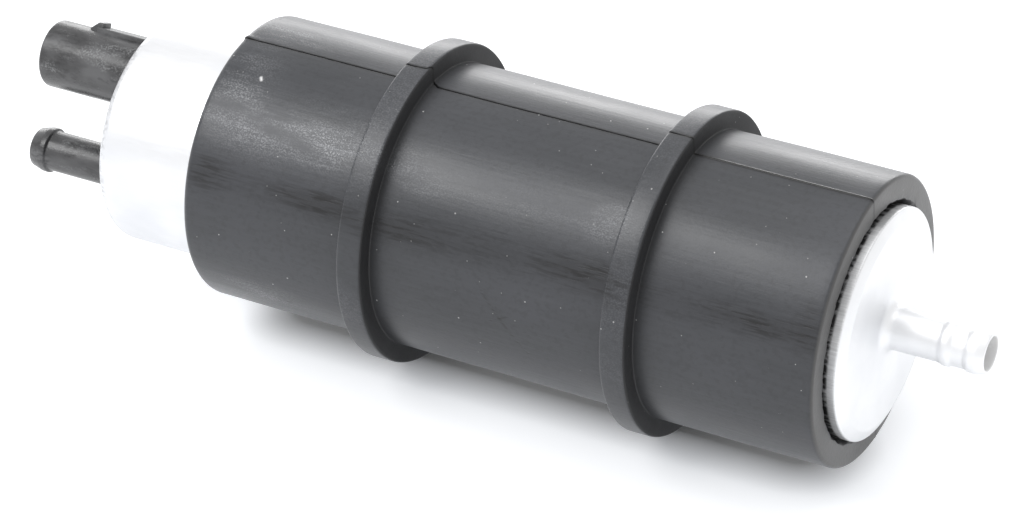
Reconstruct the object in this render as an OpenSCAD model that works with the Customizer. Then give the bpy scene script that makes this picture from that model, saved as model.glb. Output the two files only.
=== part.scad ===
// In-line electric fuel pump in a rubber sleeve.
// The pump's axis is X. Fuel enters at +X, flows through the pump stage and the motor, and leaves at -X,
// beside the electrical connector. The origin is on the axis, in the middle of the clamp seat.

/* [Rubber sleeve] */
// Length of the sleeve
sleeve_len = 127; // [120:1:134]
// Outside diameter of the sleeve
sleeve_d = 54.2; // [51:0.2:57]
// Outside diameter of the two ribs
rib_d = 61.2; // [59.4:0.2:66]
// Width of a rib along the pump
rib_w = 5; // [3:0.5:8]
// Distance between the middles of the ribs
rib_pitch = 53; // [40:1:80]
// Rounding of the sleeve's outer end edges
sleeve_round = 1.2; // [0.4:0.1:2]
// Rounding of a rib's outer edges
rib_round = 0.6; // [0.2:0.1:1]
// Fillet in the corner at the foot of a rib
rib_fillet = 0.8; // [0.2:0.1:1]
// Chamfer in both mouths of the sleeve's bore
sleeve_chamfer = 1.3; // [0.4:0.1:2]

/* [Aluminium casing] */
// Outside diameter of the casing
casing_d = 43; // [42.4:0.1:45]
// Wall of the casing, and of its rolled lip
casing_wall = 1.3; // [1:0.1:1.6]
// Thickness of the closed end
casing_end_t = 3; // [2:0.5:5]
// Bare casing in front of the sleeve, up to the rolled lip
casing_front = 22.4; // [18:0.2:28]
// How far the closed end stands out of the sleeve
casing_back = 2.9; // [2.4:0.1:8]
// Bevel round the closed end, across the face
casing_bevel = 2.2; // [0.5:0.1:3]
// Height of that bevel along the axis
casing_bevel_h = 1.1; // [0.4:0.1:1.6]
// Outer rounding of the rolled lip
lip_round = 2.2; // [1.6:0.1:2.6]
// How far the lip is rolled in towards the axis
lip_reach = 3.3; // [2.8:0.1:3.4]

/* [Inlet nozzle] */
// Length of the nozzle beyond the closed end
inlet_len = 19.2; // [15:0.1:24]
// Diameter of its shank
inlet_d = 7.8; // [7.2:0.1:8.2]
// Diameter of its two hose beads
inlet_bead_d = 8.5; // [8.4:0.1:9.4]
// Distance between the beads
inlet_bead_pitch = 4.9; // [4:0.1:6]
// Flat top of the outer bead, which the hose seals on
inlet_land = 1.5; // [1:0.1:2]
// Flat top of the inner bead
inlet_inner_land = 1; // [0.6:0.1:1.4]
// Length of a bead's ramp
inlet_ramp = 0.8; // [0.4:0.1:1]
// Length of the cone at the tip
inlet_cone = 1.6; // [1:0.1:2.4]
// Diameter of the tip's end
inlet_tip_d = 7.3; // [6.8:0.1:7.6]
// Diameter of its bore
inlet_bore = 6.2; // [4.5:0.1:6.4]
// Flare where the nozzle leaves the closed end
inlet_flare = 2; // [0.5:0.1:3]

/* [Outlet nozzle] */
// How far the outlet nozzle stands out past the lip
outlet_reach = 27.3; // [20:0.1:34]
// Distance of the outlet nozzle below the axis
outlet_off = 11.6; // [11:0.1:12]
// Diameter of its shank
outlet_d = 7.8; // [7.4:0.1:8.4]
// Diameter of its hose bead
outlet_bead_d = 8.8; // [8.6:0.1:9.6]
// Flat top of the bead, which the hose seals on
outlet_land = 1.1; // [0.6:0.1:2]
// Length of the step behind the bead
outlet_step = 0.3; // [0.1:0.1:1]
// Length of the cone at the tip
outlet_cone = 2.4; // [1.6:0.1:4]
// Diameter of the tip's end
outlet_tip_d = 7.5; // [6.8:0.1:7.8]
// Diameter of its bore
outlet_bore = 5.8; // [4.4:0.1:6]

/* [Connector] */
// How far the connector's shroud stands out past the lip
shroud_reach = 22; // [18:0.1:26]
// Height of the shroud's axis above the pump's axis
shroud_off = 10.5; // [10.2:0.1:10.6]
// Outside diameter of the shroud
shroud_d = 13; // [12.4:0.1:13.2]
// Wall of the shroud
shroud_wall = 1.2; // [0.9:0.1:1.4]
// Depth of the socket
socket_depth = 15; // [11:0.5:17]
// Angle by which the latch is turned off the top of the shroud, towards +Y
latch_turn = 25; // [0:1:30]
// Width of the flat rail that runs from the latch to the cover
rail_w = 4; // [3:0.1:4.2]
// Height of the rail above the round shroud
rail_h = 0.6; // [0.2:0.1:0.7]
// Height of the latch nib above the round shroud
nib_h = 1.5; // [1:0.1:2.4]
// Length of the latch nib
nib_len = 2.8; // [2.4:0.1:5]
// Length of the nib's ramp, on the mouth's side
nib_ramp = 1.7; // [1:0.1:2.2]
// Width of the latch nib
nib_w = 3; // [2:0.1:4]
// Distance from the shroud's mouth to the nib
nib_start = 7.2; // [5:0.1:10]
// Width of a terminal blade
blade_w = 2.8; // [2:0.1:3.4]
// Thickness of a terminal blade
blade_t = 0.8; // [0.5:0.1:1]
// Distance between the middles of the two blades
blade_pitch = 6.4; // [5.4:0.1:7]
// How far the blades stand back from the shroud's mouth
blade_recess = 4; // [2:0.5:6]
// Thickness of the strip that joins a blade to its choke
strip_t = 0.8; // [0.5:0.1:1.2]

/* [End cover] */
// Thickness of the cover's disc
cover_disc_t = 8.5; // [7:0.5:12]
// Wall of the cover's skirt and of the brush carrier's rim
skirt_wall = 1.7; // [1.2:0.1:1.8]
// Cord diameter of both sealing rings
seal_d = 1.8; // [1.4:0.1:2]
// Diameter of the choke's ferrite core
choke_core_d = 4.4; // [4:0.1:4.8]
// Length of the core above the cover's floor
choke_len = 14; // [12:0.5:14]
// Depth of the pocket that holds the core
choke_seat = 2; // [1:0.5:3]
// Diameter of the choke's wire
choke_wire_d = 0.8; // [0.5:0.1:1]
// Turns of wire on a choke
choke_turns = 6; // [4:1:8]

/* [Check valve] */
// Diameter of the check valve's chamber
valve_bore = 8.6; // [8:0.1:9]
// Length of the chamber and its seat
valve_len = 19; // [17:0.5:21]
// How deep the chamber is sunk into the cover's disc
valve_sink = 3; // [1:0.5:4]
// Wall of the boss round the chamber
valve_wall = 1.5; // [1:0.1:1.8]
// Length of the pressed-in seat
valve_seat_len = 4; // [2.5:0.5:5]
// Diameter of the valve's ball
valve_ball_d = 6.4; // [5.8:0.1:7]
// Diameter of the hole that the ball closes
valve_hole_d = 4.8; // [4:0.1:5]
// Diameter of the wire of every spring
spring_wire_d = 0.6; // [0.4:0.1:0.6]
// How far a spring's mean radius is inside the radius of its ball
spring_inset = 1; // [0.8:0.1:1.2]

/* [Motor] */
// Length of the steel flux ring
flux_len = 66; // [64:1:70]
// Wall of the flux ring
flux_t = 1.8; // [1.2:0.1:2]
// How far the magnets reach past the laminations at each end
magnet_over = 4; // [2:0.5:5]
// Thickness of the magnets
magnet_t = 4.2; // [3.6:0.1:4.4]
// Arc of each magnet in degrees
magnet_arc = 140; // [120:5:150]
// Thickness of the magnet clips
clip_t = 0.8; // [0.5:0.1:1.2]
// Gap between a clip and a magnet, in degrees
clip_gap_a = 1; // [0.5:0.1:2]
// Width of a clip's leg, in degrees
clip_leg_a = 3; // [2:0.5:6]
// Air gap between magnets and armature
air_gap = 0.65; // [0.4:0.05:0.9]
// Number of slots, and of commutator segments
slots = 10; // [8:1:12]
// Diameter of a slot's round part
slot_d = 4; // [3:0.1:4.2]
// Width of a slot's mouth
slot_mouth = 1.6; // [1:0.1:2.4]
// Thickness of the laminations outside a slot
tooth_tip = 1.3; // [0.8:0.1:1.8]
// Rounding of the end turns
winding_round = 1.8; // [0.5:0.1:2]
// Length of the end turns on each side of the laminations
winding_len = 6; // [4:0.5:7]
// Space between the commutator's hub and the end turns
comm_gap = 4; // [2:0.5:8]
// Space between the end turns and the pump stage
winding_gap = 1; // [1:0.1:2]
// Thickness of the insulators on the laminations' ends
insulator_t = 1; // [0.5:0.1:1.5]
// Diameter of the shaft
shaft_d = 5; // [4.4:0.1:5.6]
// Depth of the two flats that drive the inner rotor
flat_depth = 0.6; // [0.3:0.1:0.9]
// Height of the shoulder that locates the armature
shoulder_h = 1.2; // [0.6:0.1:1.5]
// Wall of both bearing bushes
bush_wall = 2; // [1.4:0.1:2.2]
// Length of both bearing bushes
bush_len = 8; // [6:0.5:8]
// Thickness of the thrust washers
washer_t = 0.8; // [0.5:0.1:1]

/* [Brush gear] */
// Length of the brush carrier
carrier_len = 22; // [20:0.5:25]
// Thickness of the carrier's plate
carrier_plate_t = 6; // [4:0.5:8]
// Wall of the brush guides and of the bearing's boss
guide_wall = 1.4; // [1:0.1:1.6]
// How far the guides stand back from the carrier's rim
guide_back = 1.5; // [0.5:0.1:3]
// Thickness of the shoulder that the front bearing seats on
bush_shoulder = 1; // [0.5:0.1:1.5]
// Diameter of the fuel ports in the carrier's plate
port_d = 5; // [3:0.5:6]
// Distance of the ports from the carrier's rim
port_web = 2; // [1:0.1:2.5]
// Distance of the brushes from the axis
brush_off = 8.8; // [8.6:0.1:9]
// Width of a brush across the radius
brush_w = 5; // [4:0.1:5.4]
// Depth of a brush along the radius
brush_h = 6; // [5:0.1:6.4]
// Length of a brush
brush_len = 12; // [10:0.5:13]
// Distance from the carrier to the commutator's face
brush_stand = 4; // [3:0.5:5]
// Diameter of a brush's lead
lead_d = 1; // [0.6:0.1:1.4]
// How far a lead stands out of its brush's guide
lead_out = 1.5; // [1:0.1:2]
// How deep the lead is bedded in the brush
lead_bite = 2; // [1:0.5:4]
// Mean diameter of a brush's spring
brush_spring_d = 3.8; // [3.2:0.1:4]
// Thickness of the commutator's segments
segment_t = 2.2; // [1.5:0.1:3]
// How far the segments reach past the brushes
segment_rim = 0.5; // [0.3:0.1:1]
// Thickness of the plates behind the segments
plate_t = 0.8; // [0.5:0.1:1.2]
// How far the plates stand out past the segments
plate_tab = 0.4; // [0.2:0.1:0.8]
// Thickness of the commutator's hub disc
hub_t = 2; // [1:0.1:2.5]
// How far the hub's collar stands out past the front bearing
collar_step = 0.5; // [0.2:0.1:0.8]
// Gap between commutator segments, in degrees
segment_gap = 3; // [2:0.5:6]

/* [Pump stage] */
// Depth of the inlet chamber behind the closed end
chamber_len = 6; // [5.5:0.5:8]
// Thickness of the inlet plate
inlet_plate_t = 7; // [6:0.5:9]
// Width of the pump ring and its rotors
ring_w = 8; // [6:0.5:10]
// Thickness of the outlet plate
outlet_plate_t = 8; // [8:0.5:10]
// Number of teeth on the inner rotor
teeth = 6; // [5:1:7]
// Eccentricity of the outer rotor
ecc = 0.9; // [0.6:0.05:1]
// Radius on which the outer rotor's lobes are centred
lobe_pitch_r = 9; // [8.6:0.1:9.2]
// Radius of a lobe
lobe_r = 3; // [2.7:0.1:3.1]
// Wall of the outer rotor behind its lobes
rotor_wall = 3; // [2:0.1:3.4]
// Arc of the kidney ports, in degrees
kidney_arc = 124; // [100:2:140]
// How deep the shaft runs into the inlet plate
shaft_pocket = 2; // [1:0.5:2.5]
// Thickness of the thrust pad behind the shaft
pad_t = 1.5; // [1:0.5:2.5]
// Diameter of the stage's three screws
screw_d = 3; // [2:0.5:3.5]
// Diameter of their heads
screw_head_d = 5; // [4.4:0.1:5]
// Height of their heads
screw_head_t = 2; // [1.5:0.1:2.2]
// How deep the screws go into the outlet plate
screw_bite = 5; // [3:0.5:6]
// Radius on which the screws stand
screw_ring_r = 15.2; // [15:0.1:15.4]

/* [Relief valve and strainer] */
// Distance of the relief valve below the axis
relief_off = 14.2; // [14:0.1:14.6]
// Diameter of the valve's ball
relief_ball_d = 4.4; // [4:0.1:4.8]
// Diameter of the hole that the ball closes
relief_hole_d = 2.8; // [2:0.1:3.2]
// Distance that the ball lifts
relief_lift = 1.2; // [0.5:0.1:1.4]
// Thickness of the valve's seat
relief_seat_t = 1.5; // [1:0.1:1.8]
// How far the retainer stands out of the inlet plate
relief_stand = 2.8; // [2:0.1:3]
// Wall of the retainer's tube
relief_wall = 0.6; // [0.4:0.1:0.7]
// Wall of the retainer's cap
relief_cap_t = 0.8; // [0.5:0.1:1]
// Wall of the strainer's rim
strainer_rim = 1.6; // [1:0.1:2]
// Thickness of the strainer's floor
strainer_t = 1; // [0.5:0.1:1]
// Space between the strainer's floor and the closed end
strainer_gap = 0.8; // [0.5:0.1:0.9]
// Diameter of the strainer's holes
strainer_hole_d = 1.6; // [1:0.1:2]
// Rows of holes round the strainer's middle
strainer_rows = 4; // [2:1:5]

/* [Hidden] */
$fn = 96;

// Clearances: parts held still, parts that run, flat faces that slide, and how far a cut overshoots
fit_gap = 0.1;
run_gap = 0.04;
side_gap = 0.05;
mesh_gap = 0.04;
seal_gap = 0.02;
over = 1;

// Points on each turn of a spring or choke, and on each lobe of the inner rotor
turn_steps = 10;
lobe_steps = 24;

// Radii that fitted parts share
casing_r = casing_d / 2;
bore_r = casing_r - casing_wall;
core_fit_r = bore_r - fit_gap;
sleeve_bore_r = casing_r + side_gap;
flux_bore_r = core_fit_r - flux_t;
magnet_r = flux_bore_r - side_gap;
magnet_bore_r = magnet_r - magnet_t;
core_r = magnet_bore_r - air_gap;
shaft_r = shaft_d / 2;
bush_r = shaft_r + bush_wall;
shroud_r = shroud_d / 2;
socket_r = shroud_r - shroud_wall;

// Stations along the axis, from the closed end towards the connector
face_x = sleeve_len / 2 + casing_back;
wall_x = face_x - casing_end_t;
chamber_x = wall_x - chamber_len;
rotor_x = chamber_x - inlet_plate_t;
ring_x = rotor_x - ring_w;
motor_x = ring_x - outlet_plate_t;
carrier_x = motor_x - flux_len;
cover_x = carrier_x - carrier_len;
lip_x = -(sleeve_len / 2 + casing_front);
disc_x = lip_x + casing_wall;
cavity_x = disc_x + cover_disc_t;
inlet_tip_x = face_x + inlet_len;
outlet_tip_x = lip_x - outlet_reach;
mouth_x = lip_x - shroud_reach;

// Nozzles, connector and chokes
choke_core_r = choke_core_d / 2;
choke_wire_r = choke_wire_d / 2;
choke_z = choke_core_r + choke_wire_r + 2 * fit_gap;

// Check valve, from the chamber's floor to the end of its boss
valve_floor_x = cavity_x - valve_sink;
valve_seat_x = valve_floor_x + valve_len - valve_seat_len;
check_ball_x = valve_seat_x - ball_rest(valve_ball_d, valve_hole_d);
spring_wire_r = spring_wire_d / 2;
check_spring_r = valve_ball_d / 2 - spring_inset;

// Brush gear
guide_x = cover_x + guide_back;
join_x = guide_x - lead_out;
lead_r = lead_d / 2;
port_ring_r = core_fit_r - skirt_wall - port_d / 2 - port_web;

// Commutator and armature
comm_x = carrier_x + brush_stand;
brush_back_x = comm_x - side_gap - brush_len;
comm_r = brush_off + brush_h / 2 + segment_rim;
collar_r = bush_r + collar_step;
hub_front_x = carrier_x + washer_t + 2 * side_gap;
slot_centre_r = core_r - tooth_tip - slot_d / 2;
hub_back_x = comm_x + segment_t + plate_t + hub_t;
core_x = hub_back_x + comm_gap + winding_len + insulator_t;
core_back_x = motor_x - winding_gap - winding_len - insulator_t;
core_len = core_back_x - core_x;
magnet_x = core_x - magnet_over;
magnet_len = core_len + 2 * magnet_over;
rear_washer_x = motor_x - side_gap - washer_t;
shoulder_r = shaft_r + shoulder_h;

// Pump stage
root_r = lobe_pitch_r + 2 * ecc - lobe_r + fit_gap;
rotor_r = root_r + rotor_wall;
flat_half = shaft_r - flat_depth;
kidney_in_r = lobe_pitch_r - lobe_r - ecc + 2 * fit_gap;
kidney_out_r = root_r - fit_gap;
shaft_x = carrier_x - bush_len - bush_shoulder;
shaft_end_x = rotor_x + shaft_pocket - side_gap;
screw_r = screw_d / 2;
screw_head_r = screw_head_d / 2;

// Relief valve
relief_hole_r = relief_hole_d / 2;
relief_bore_r = relief_ball_d / 2 + 3 * fit_gap;
relief_cage_r = relief_bore_r - relief_wall;
relief_seat_x = rotor_x + relief_seat_t;
relief_ball_x = relief_seat_x + ball_rest(relief_ball_d, relief_hole_d);
relief_cage_x = relief_ball_x + relief_lift + ball_rest(relief_ball_d, 2 * relief_cage_r) + fit_gap;
relief_top_x = chamber_x + relief_stand;
relief_spring_r = relief_ball_d / 2 - spring_inset;
seal_centre_r = bore_r - seal_gap - seal_d / 2;

// How far a ball's middle stays from the edge plane of the hole that it rests on
function ball_rest(ball_d, hole_d) = sqrt(pow(ball_d / 2, 2) - pow(hole_d / 2, 2)) + side_gap;

// Places a shape that is drawn along +Z on the pump's axis: drawn X becomes Y, and drawn Y becomes Z
module on_axis(x = 0) { translate([x, 0, 0]) rotate([90, 0, 90]) children(); }

module tube(outer_r, inner_r, h) {
    linear_extrude(h) difference() {
        circle(outer_r);
        circle(inner_r);
    }
}

module ring_of(count, radius, start = 0) {
    for (i = [0:count - 1]) rotate(start + 360 * i / count) translate([radius, 0, 0]) children();
}

// Points of an arc about c, from angle a0 to a1
function arc(c, r, a0, a1, steps = 6) =
    [for (i = [0:steps]) let (a = a0 + (a1 - a0) * i / steps) c + r * [cos(a), sin(a)]];

// A wire of radius r swept along points. Its rings are square to the path and turned by the vector ref
module wire(points, r, sides = 6, ref = [1, 0, 0]) {
    n = len(points);
    rings = [for (i = [0:n - 1])
        let (t = points[min(i + 1, n - 1)] - points[max(i - 1, 0)],
             u = cross(t, ref) / norm(cross(t, ref)),
             v = cross(t, u) / norm(t))
        for (k = [0:sides - 1]) points[i] + r * (u * cos(360 * k / sides) + v * sin(360 * k / sides))];
    walls = [for (i = [0:n - 2], k = [0:sides - 1])
        let (a = i * sides + k, b = i * sides + (k + 1) % sides)
        each [[a, b, b + sides], [a, b + sides, a + sides]]];
    caps = [[for (k = [sides - 1:-1:0]) k], [for (k = [0:sides - 1]) (n - 1) * sides + k]];
    polyhedron(rings, concat(walls, caps), convexity = 10);
}

// Rubber sleeve
function rib_outline(x) = let (low = sleeve_d / 2, top = rib_d / 2, a = x - rib_w / 2, b = x + rib_w / 2)
    concat(
        [for (p = arc([low + rib_fillet, a - rib_fillet], rib_fillet, 180, 90)) p],
        arc([top - rib_round, a + rib_round], rib_round, -90, 0),
        arc([top - rib_round, b - rib_round], rib_round, 0, 90),
        [for (p = arc([low + rib_fillet, b + rib_fillet], rib_fillet, -90, -180)) p]);

module rubber_sleeve() {
    low = sleeve_d / 2;
    end = sleeve_len / 2;
    color("#4b4c4f") on_axis() rotate_extrude() polygon(concat(
        [[sleeve_bore_r, -end + sleeve_chamfer], [sleeve_bore_r + sleeve_chamfer, -end]],
        arc([low - sleeve_round, -end + sleeve_round], sleeve_round, -90, 0),
        rib_outline(-rib_pitch / 2),
        rib_outline(rib_pitch / 2),
        arc([low - sleeve_round, end - sleeve_round], sleeve_round, 0, 90),
        [[sleeve_bore_r + sleeve_chamfer, end], [sleeve_bore_r, end - sleeve_chamfer]]));
}

// Aluminium casing: an extruded can with its nozzle in one piece, rolled over the end cover at the front
function bead(x, low, high, land, ramp, falls = true) = concat(
    [[low, x - land / 2 - ramp], [high, x - land / 2], [high, x + land / 2]],
    falls ? [[low, x + land / 2 + ramp]] : []);

module motor_casing() {
    shank_r = inlet_d / 2;
    lip_r = casing_r - lip_reach;
    outer_bead_x = inlet_tip_x - inlet_cone - inlet_land / 2;
    color("#e6e7ea") on_axis() rotate_extrude() polygon(concat(
        [[lip_r, lip_x]],
        arc([casing_r - lip_round, lip_x + lip_round], lip_round, -90, 0),
        [[casing_r, face_x - casing_bevel_h], [casing_r - casing_bevel, face_x]],
        arc([shank_r + inlet_flare, face_x + inlet_flare], inlet_flare, 270, 180),
        bead(outer_bead_x - inlet_bead_pitch, shank_r, inlet_bead_d / 2, inlet_inner_land, inlet_ramp),
        bead(outer_bead_x, shank_r, inlet_bead_d / 2, inlet_land, inlet_ramp, false),
        [[inlet_tip_d / 2, inlet_tip_x], [inlet_bore / 2, inlet_tip_x], [inlet_bore / 2, wall_x],
         [bore_r, wall_x], [bore_r, disc_x], [lip_r, disc_x]]));
}

// End cover: moulded in one piece with the connector's shroud, the outlet nozzle and the check valve's boss
module end_cover() {
    socket_x = mouth_x + socket_depth;
    slot_t = blade_t + 2 * seal_gap;
    slot_w = blade_w + 2 * seal_gap;
    color("#2b2c2e") difference() {
        union() {
            on_axis(disc_x) cylinder(r = core_fit_r, h = cover_disc_t);
            on_axis(cavity_x - over) tube(core_fit_r, core_fit_r - skirt_wall, cover_x - cavity_x + over);
            shroud_body();
            outlet_nozzle();
            translate([0, 0, -outlet_off]) on_axis(valve_floor_x)
                cylinder(r = valve_bore / 2 + valve_wall, h = valve_len);
        }
        on_axis(mouth_x - over) translate([0, shroud_off]) cylinder(r = socket_r, h = socket_depth + over);
        for (side = [-1, 1]) {
            translate([socket_x - over, side * blade_pitch / 2 - slot_t / 2, shroud_off - slot_w / 2])
                cube([cavity_x - socket_x + 2 * over, slot_t, slot_w]);
            translate([0, side * brush_off, choke_z]) on_axis(cavity_x - choke_seat)
                cylinder(r = choke_core_r + seal_gap, h = choke_seat + over);
        }
        translate([0, 0, -outlet_off]) {
            on_axis(outlet_tip_x - over)
                cylinder(r = outlet_bore / 2, h = valve_floor_x - outlet_tip_x + 2 * over);
            on_axis(valve_floor_x) cylinder(r = valve_bore / 2, h = valve_len + over);
        }
        ring_groove(disc_x + cover_disc_t / 2);
    }
}

module shroud_body() {
    length = disc_x - mouth_x + over;
    rail_start = nib_start + nib_ramp;
    nib_top = shroud_r + nib_h;
    translate([mouth_x, 0, shroud_off]) {
        on_axis() cylinder(r = shroud_r, h = length);
        rotate([-latch_turn, 0, 0]) {
            translate([rail_start, -rail_w / 2, 0]) cube([length - rail_start, rail_w, shroud_r + rail_h]);
            translate([nib_start, nib_w / 2, 0]) rotate([90, 0, 0]) linear_extrude(nib_w) polygon([
                [0, shroud_r - over], [0, shroud_r], [nib_ramp, nib_top], [nib_len, nib_top],
                [nib_len, shroud_r - over]]);
        }
    }
}

module outlet_nozzle() {
    shank_r = outlet_d / 2;
    bead_r = outlet_bead_d / 2;
    land_x = outlet_tip_x + outlet_cone;
    translate([0, 0, -outlet_off]) on_axis() rotate_extrude() polygon([[0, outlet_tip_x],
        [outlet_tip_d / 2, outlet_tip_x], [bead_r, land_x], [bead_r, land_x + outlet_land],
        [shank_r, land_x + outlet_land + outlet_step],
        [shank_r, disc_x + over], [0, disc_x + over]]);
}

// Sealing rings: each stands in a groove round its plate and reaches the casing's bore
module ring_groove(x) {
    width = seal_d + 4 * fit_gap;
    on_axis(x - width / 2) tube(core_fit_r + over, seal_centre_r - seal_d / 2 - seal_gap, width);
}

module seal_ring(x) {
    color("#1c1c1c") on_axis(x) rotate_extrude() translate([seal_centre_r, 0]) circle(seal_d / 2);
}

module cover_seal() { seal_ring(disc_x + cover_disc_t / 2); }

module stage_seal() { seal_ring(rotor_x + inlet_plate_t / 2); }

// Terminals: a blade through the cover, and a strip on its inner floor that leads to the choke
module terminal() {
    reach = [brush_off - blade_pitch / 2, choke_z - shroud_off];
    strip_len = norm(reach) - choke_core_r - 2 * fit_gap;
    color("#c9a45a") {
        translate([mouth_x + blade_recess, blade_pitch / 2 - blade_t / 2, shroud_off - blade_w / 2])
            cube([cavity_x + strip_t - mouth_x - blade_recess, blade_t, blade_w]);
        translate([cavity_x + seal_gap, blade_pitch / 2, shroud_off])
            rotate([atan2(reach[1], reach[0]), 0, 0])
            translate([0, 0, -blade_w / 2]) cube([strip_t - seal_gap, strip_len, blade_w]);
    }
}

module terminal_positive() { terminal(); }

module terminal_negative() { mirror([0, 1, 0]) terminal(); }

// Suppression chokes: a ferrite rod in each, with a winding from the terminal's strip to the brush's lead
module both_sides() {
    children();
    mirror([0, 1, 0]) children();
}

module choke_cores() {
    color("#3a3a40") both_sides() translate([0, brush_off, choke_z]) on_axis(cavity_x - choke_seat)
        cylinder(r = choke_core_r, h = choke_seat + choke_len);
}

module choke_windings() {
    start_x = cavity_x + strip_t + choke_wire_r + seal_gap;
    end_x = cavity_x + choke_len - choke_wire_r - 3 * fit_gap;
    start_a = atan2(shroud_off - choke_z, blade_pitch / 2 - brush_off);
    sweep = 360 * choke_turns - 90 - start_a;
    steps = choke_turns * turn_steps;
    color("#b5652b") both_sides() translate([0, brush_off, choke_z]) wire(concat(
        [for (i = [0:steps]) let (a = start_a + sweep * i / steps)
            [start_x + (end_x - start_x) * i / steps, choke_z * cos(a), choke_z * sin(a)]],
        [[end_x + 2 * choke_wire_r, 0, -choke_z], [join_x - seal_gap, 0, -choke_z]]),
        choke_wire_r, ref = [0, 0.1, 1]);
}

// Check valve: seat pressed into the boss, ball, and a spring that closes it against the outlet's back flow
module check_valve_seat() {
    color("#b8b08a") translate([0, 0, -outlet_off]) on_axis(valve_seat_x)
        tube(valve_bore / 2 - seal_gap, valve_hole_d / 2, valve_seat_len);
}

module check_valve_ball() {
    color("#c8cacc") translate([check_ball_x, 0, -outlet_off]) sphere(r = valve_ball_d / 2);
}

module check_valve_spring() {
    clear_r = check_spring_r - spring_wire_r;
    top_x = check_ball_x - sqrt(pow(valve_ball_d / 2, 2) - pow(clear_r, 2)) - seal_gap;
    color("#9a9c9e") translate([0, 0, -outlet_off]) spring(valve_floor_x + seal_gap, top_x,
        valve_bore / 2 - spring_wire_r - fit_gap, check_spring_r, 6);
}

// A helical spring along X between two planes, which may taper from one radius to another
module spring(x0, x1, r0, r1, turns) {
    steps = turns * turn_steps;
    low = x0 + spring_wire_r;
    high = x1 - spring_wire_r;
    wire([for (i = [0:steps]) let (f = i / steps, r = r0 + (r1 - r0) * f, a = 360 * turns * f)
        [low + (high - low) * f, r * cos(a), r * sin(a)]], spring_wire_r);
}

// Brush gear: the carrier's rim passes on the clamping force, and its plate holds the front bearing
module brush_carrier() {
    plate_x = carrier_x - carrier_plate_t;
    inner = brush_off - brush_h / 2 - side_gap;
    outer = brush_off + brush_h / 2 + side_gap;
    half_w = brush_w / 2 + side_gap;
    color("#3b4a3f") difference() {
        union() {
            on_axis(cover_x) tube(core_fit_r, core_fit_r - skirt_wall, carrier_len);
            on_axis(plate_x) cylinder(r = core_fit_r - skirt_wall / 2, h = carrier_plate_t);
            on_axis(shaft_x) cylinder(r = bush_r + guide_wall, h = bush_len);
            both_sides() translate([guide_x, inner - guide_wall, -half_w - guide_wall])
                cube([plate_x - guide_x + over, outer - inner + 2 * guide_wall, 2 * (half_w + guide_wall)]);
        }
        both_sides() {
            translate([guide_x + guide_wall, inner, -half_w])
                cube([carrier_x - guide_x, outer - inner, 2 * half_w]);
            on_axis(guide_x - over) translate([brush_off, 0])
                cylinder(r = lead_r + 3 * fit_gap, h = guide_wall + 2 * over);
        }
        on_axis(carrier_x - bush_len) cylinder(r = bush_r + seal_gap, h = bush_len + over);
        on_axis(shaft_x - over) cylinder(r = shaft_r + 4 * fit_gap, h = bush_len);
        on_axis(plate_x - over) ring_of(4, port_ring_r, 45)
            cylinder(r = port_d / 2, h = carrier_plate_t + 2 * over);
    }
}

module brush() {
    color("#4a4846") difference() {
        translate([comm_x - side_gap - brush_len, brush_off - brush_h / 2, -brush_w / 2])
            cube([brush_len, brush_h, brush_w]);
        on_axis(brush_back_x - over) translate([brush_off, 0])
            cylinder(r = lead_r + seal_gap, h = lead_bite + over);
    }
}

module brush_positive() { brush(); }

module brush_negative() { mirror([0, 1, 0]) brush(); }

module brush_spring() {
    mean_r = brush_spring_d / 2;
    color("#a8863f") translate([0, brush_off, 0])
        spring(guide_x + guide_wall + seal_gap, brush_back_x - seal_gap, mean_r, mean_r, 9);
}

module brush_spring_positive() { brush_spring(); }

module brush_spring_negative() { mirror([0, 1, 0]) brush_spring(); }

module brush_lead() {
    color("#c47a45") translate([0, brush_off, 0]) on_axis(join_x)
        cylinder(r = lead_r, h = brush_back_x + lead_bite - seal_gap - join_x);
}

module brush_lead_positive() { brush_lead(); }

module brush_lead_negative() { mirror([0, 1, 0]) brush_lead(); }

// Bearings: the shaft runs in two sintered bushes
module bush(x) { color("#b08d57") on_axis(x) tube(bush_r, shaft_r + run_gap, bush_len); }

module front_bearing() { bush(carrier_x - bush_len); }

module rear_bearing() { bush(motor_x); }

// Field: flux ring, two magnets, and the clips that spread them
module flux_ring() { color("#8d9094") on_axis(carrier_x) tube(core_fit_r, flux_bore_r, flux_len); }

module sector(r0, r1, a0, a1, h) {
    rotate_extrude(angle = a1 - a0, start = a0) translate([r0, 0]) square([r1 - r0, h]);
}

module magnet() {
    color("#3f4246") on_axis(magnet_x)
        sector(magnet_bore_r, magnet_r, -magnet_arc / 2, magnet_arc / 2, magnet_len);
}

module magnet_north() { magnet(); }

module magnet_south() { mirror([0, 1, 0]) magnet(); }

module magnet_clips() {
    edge = magnet_arc / 2 + clip_gap_a;
    color("#b9bcc0") for (turn = [0, 180]) on_axis(magnet_x) rotate(turn) {
        sector(magnet_r - clip_t, magnet_r, edge, 180 - edge, magnet_len);
        sector(magnet_bore_r + clip_t, magnet_r, edge, edge + clip_leg_a, magnet_len);
        sector(magnet_bore_r + clip_t, magnet_r, 180 - edge - clip_leg_a, 180 - edge, magnet_len);
    }
}

// Armature: shaft with a shoulder at the back and two flats that drive the inner rotor
module flats(half, h) { translate([-half, -shaft_d, 0]) cube([2 * half, 2 * shaft_d, h]); }

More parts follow.
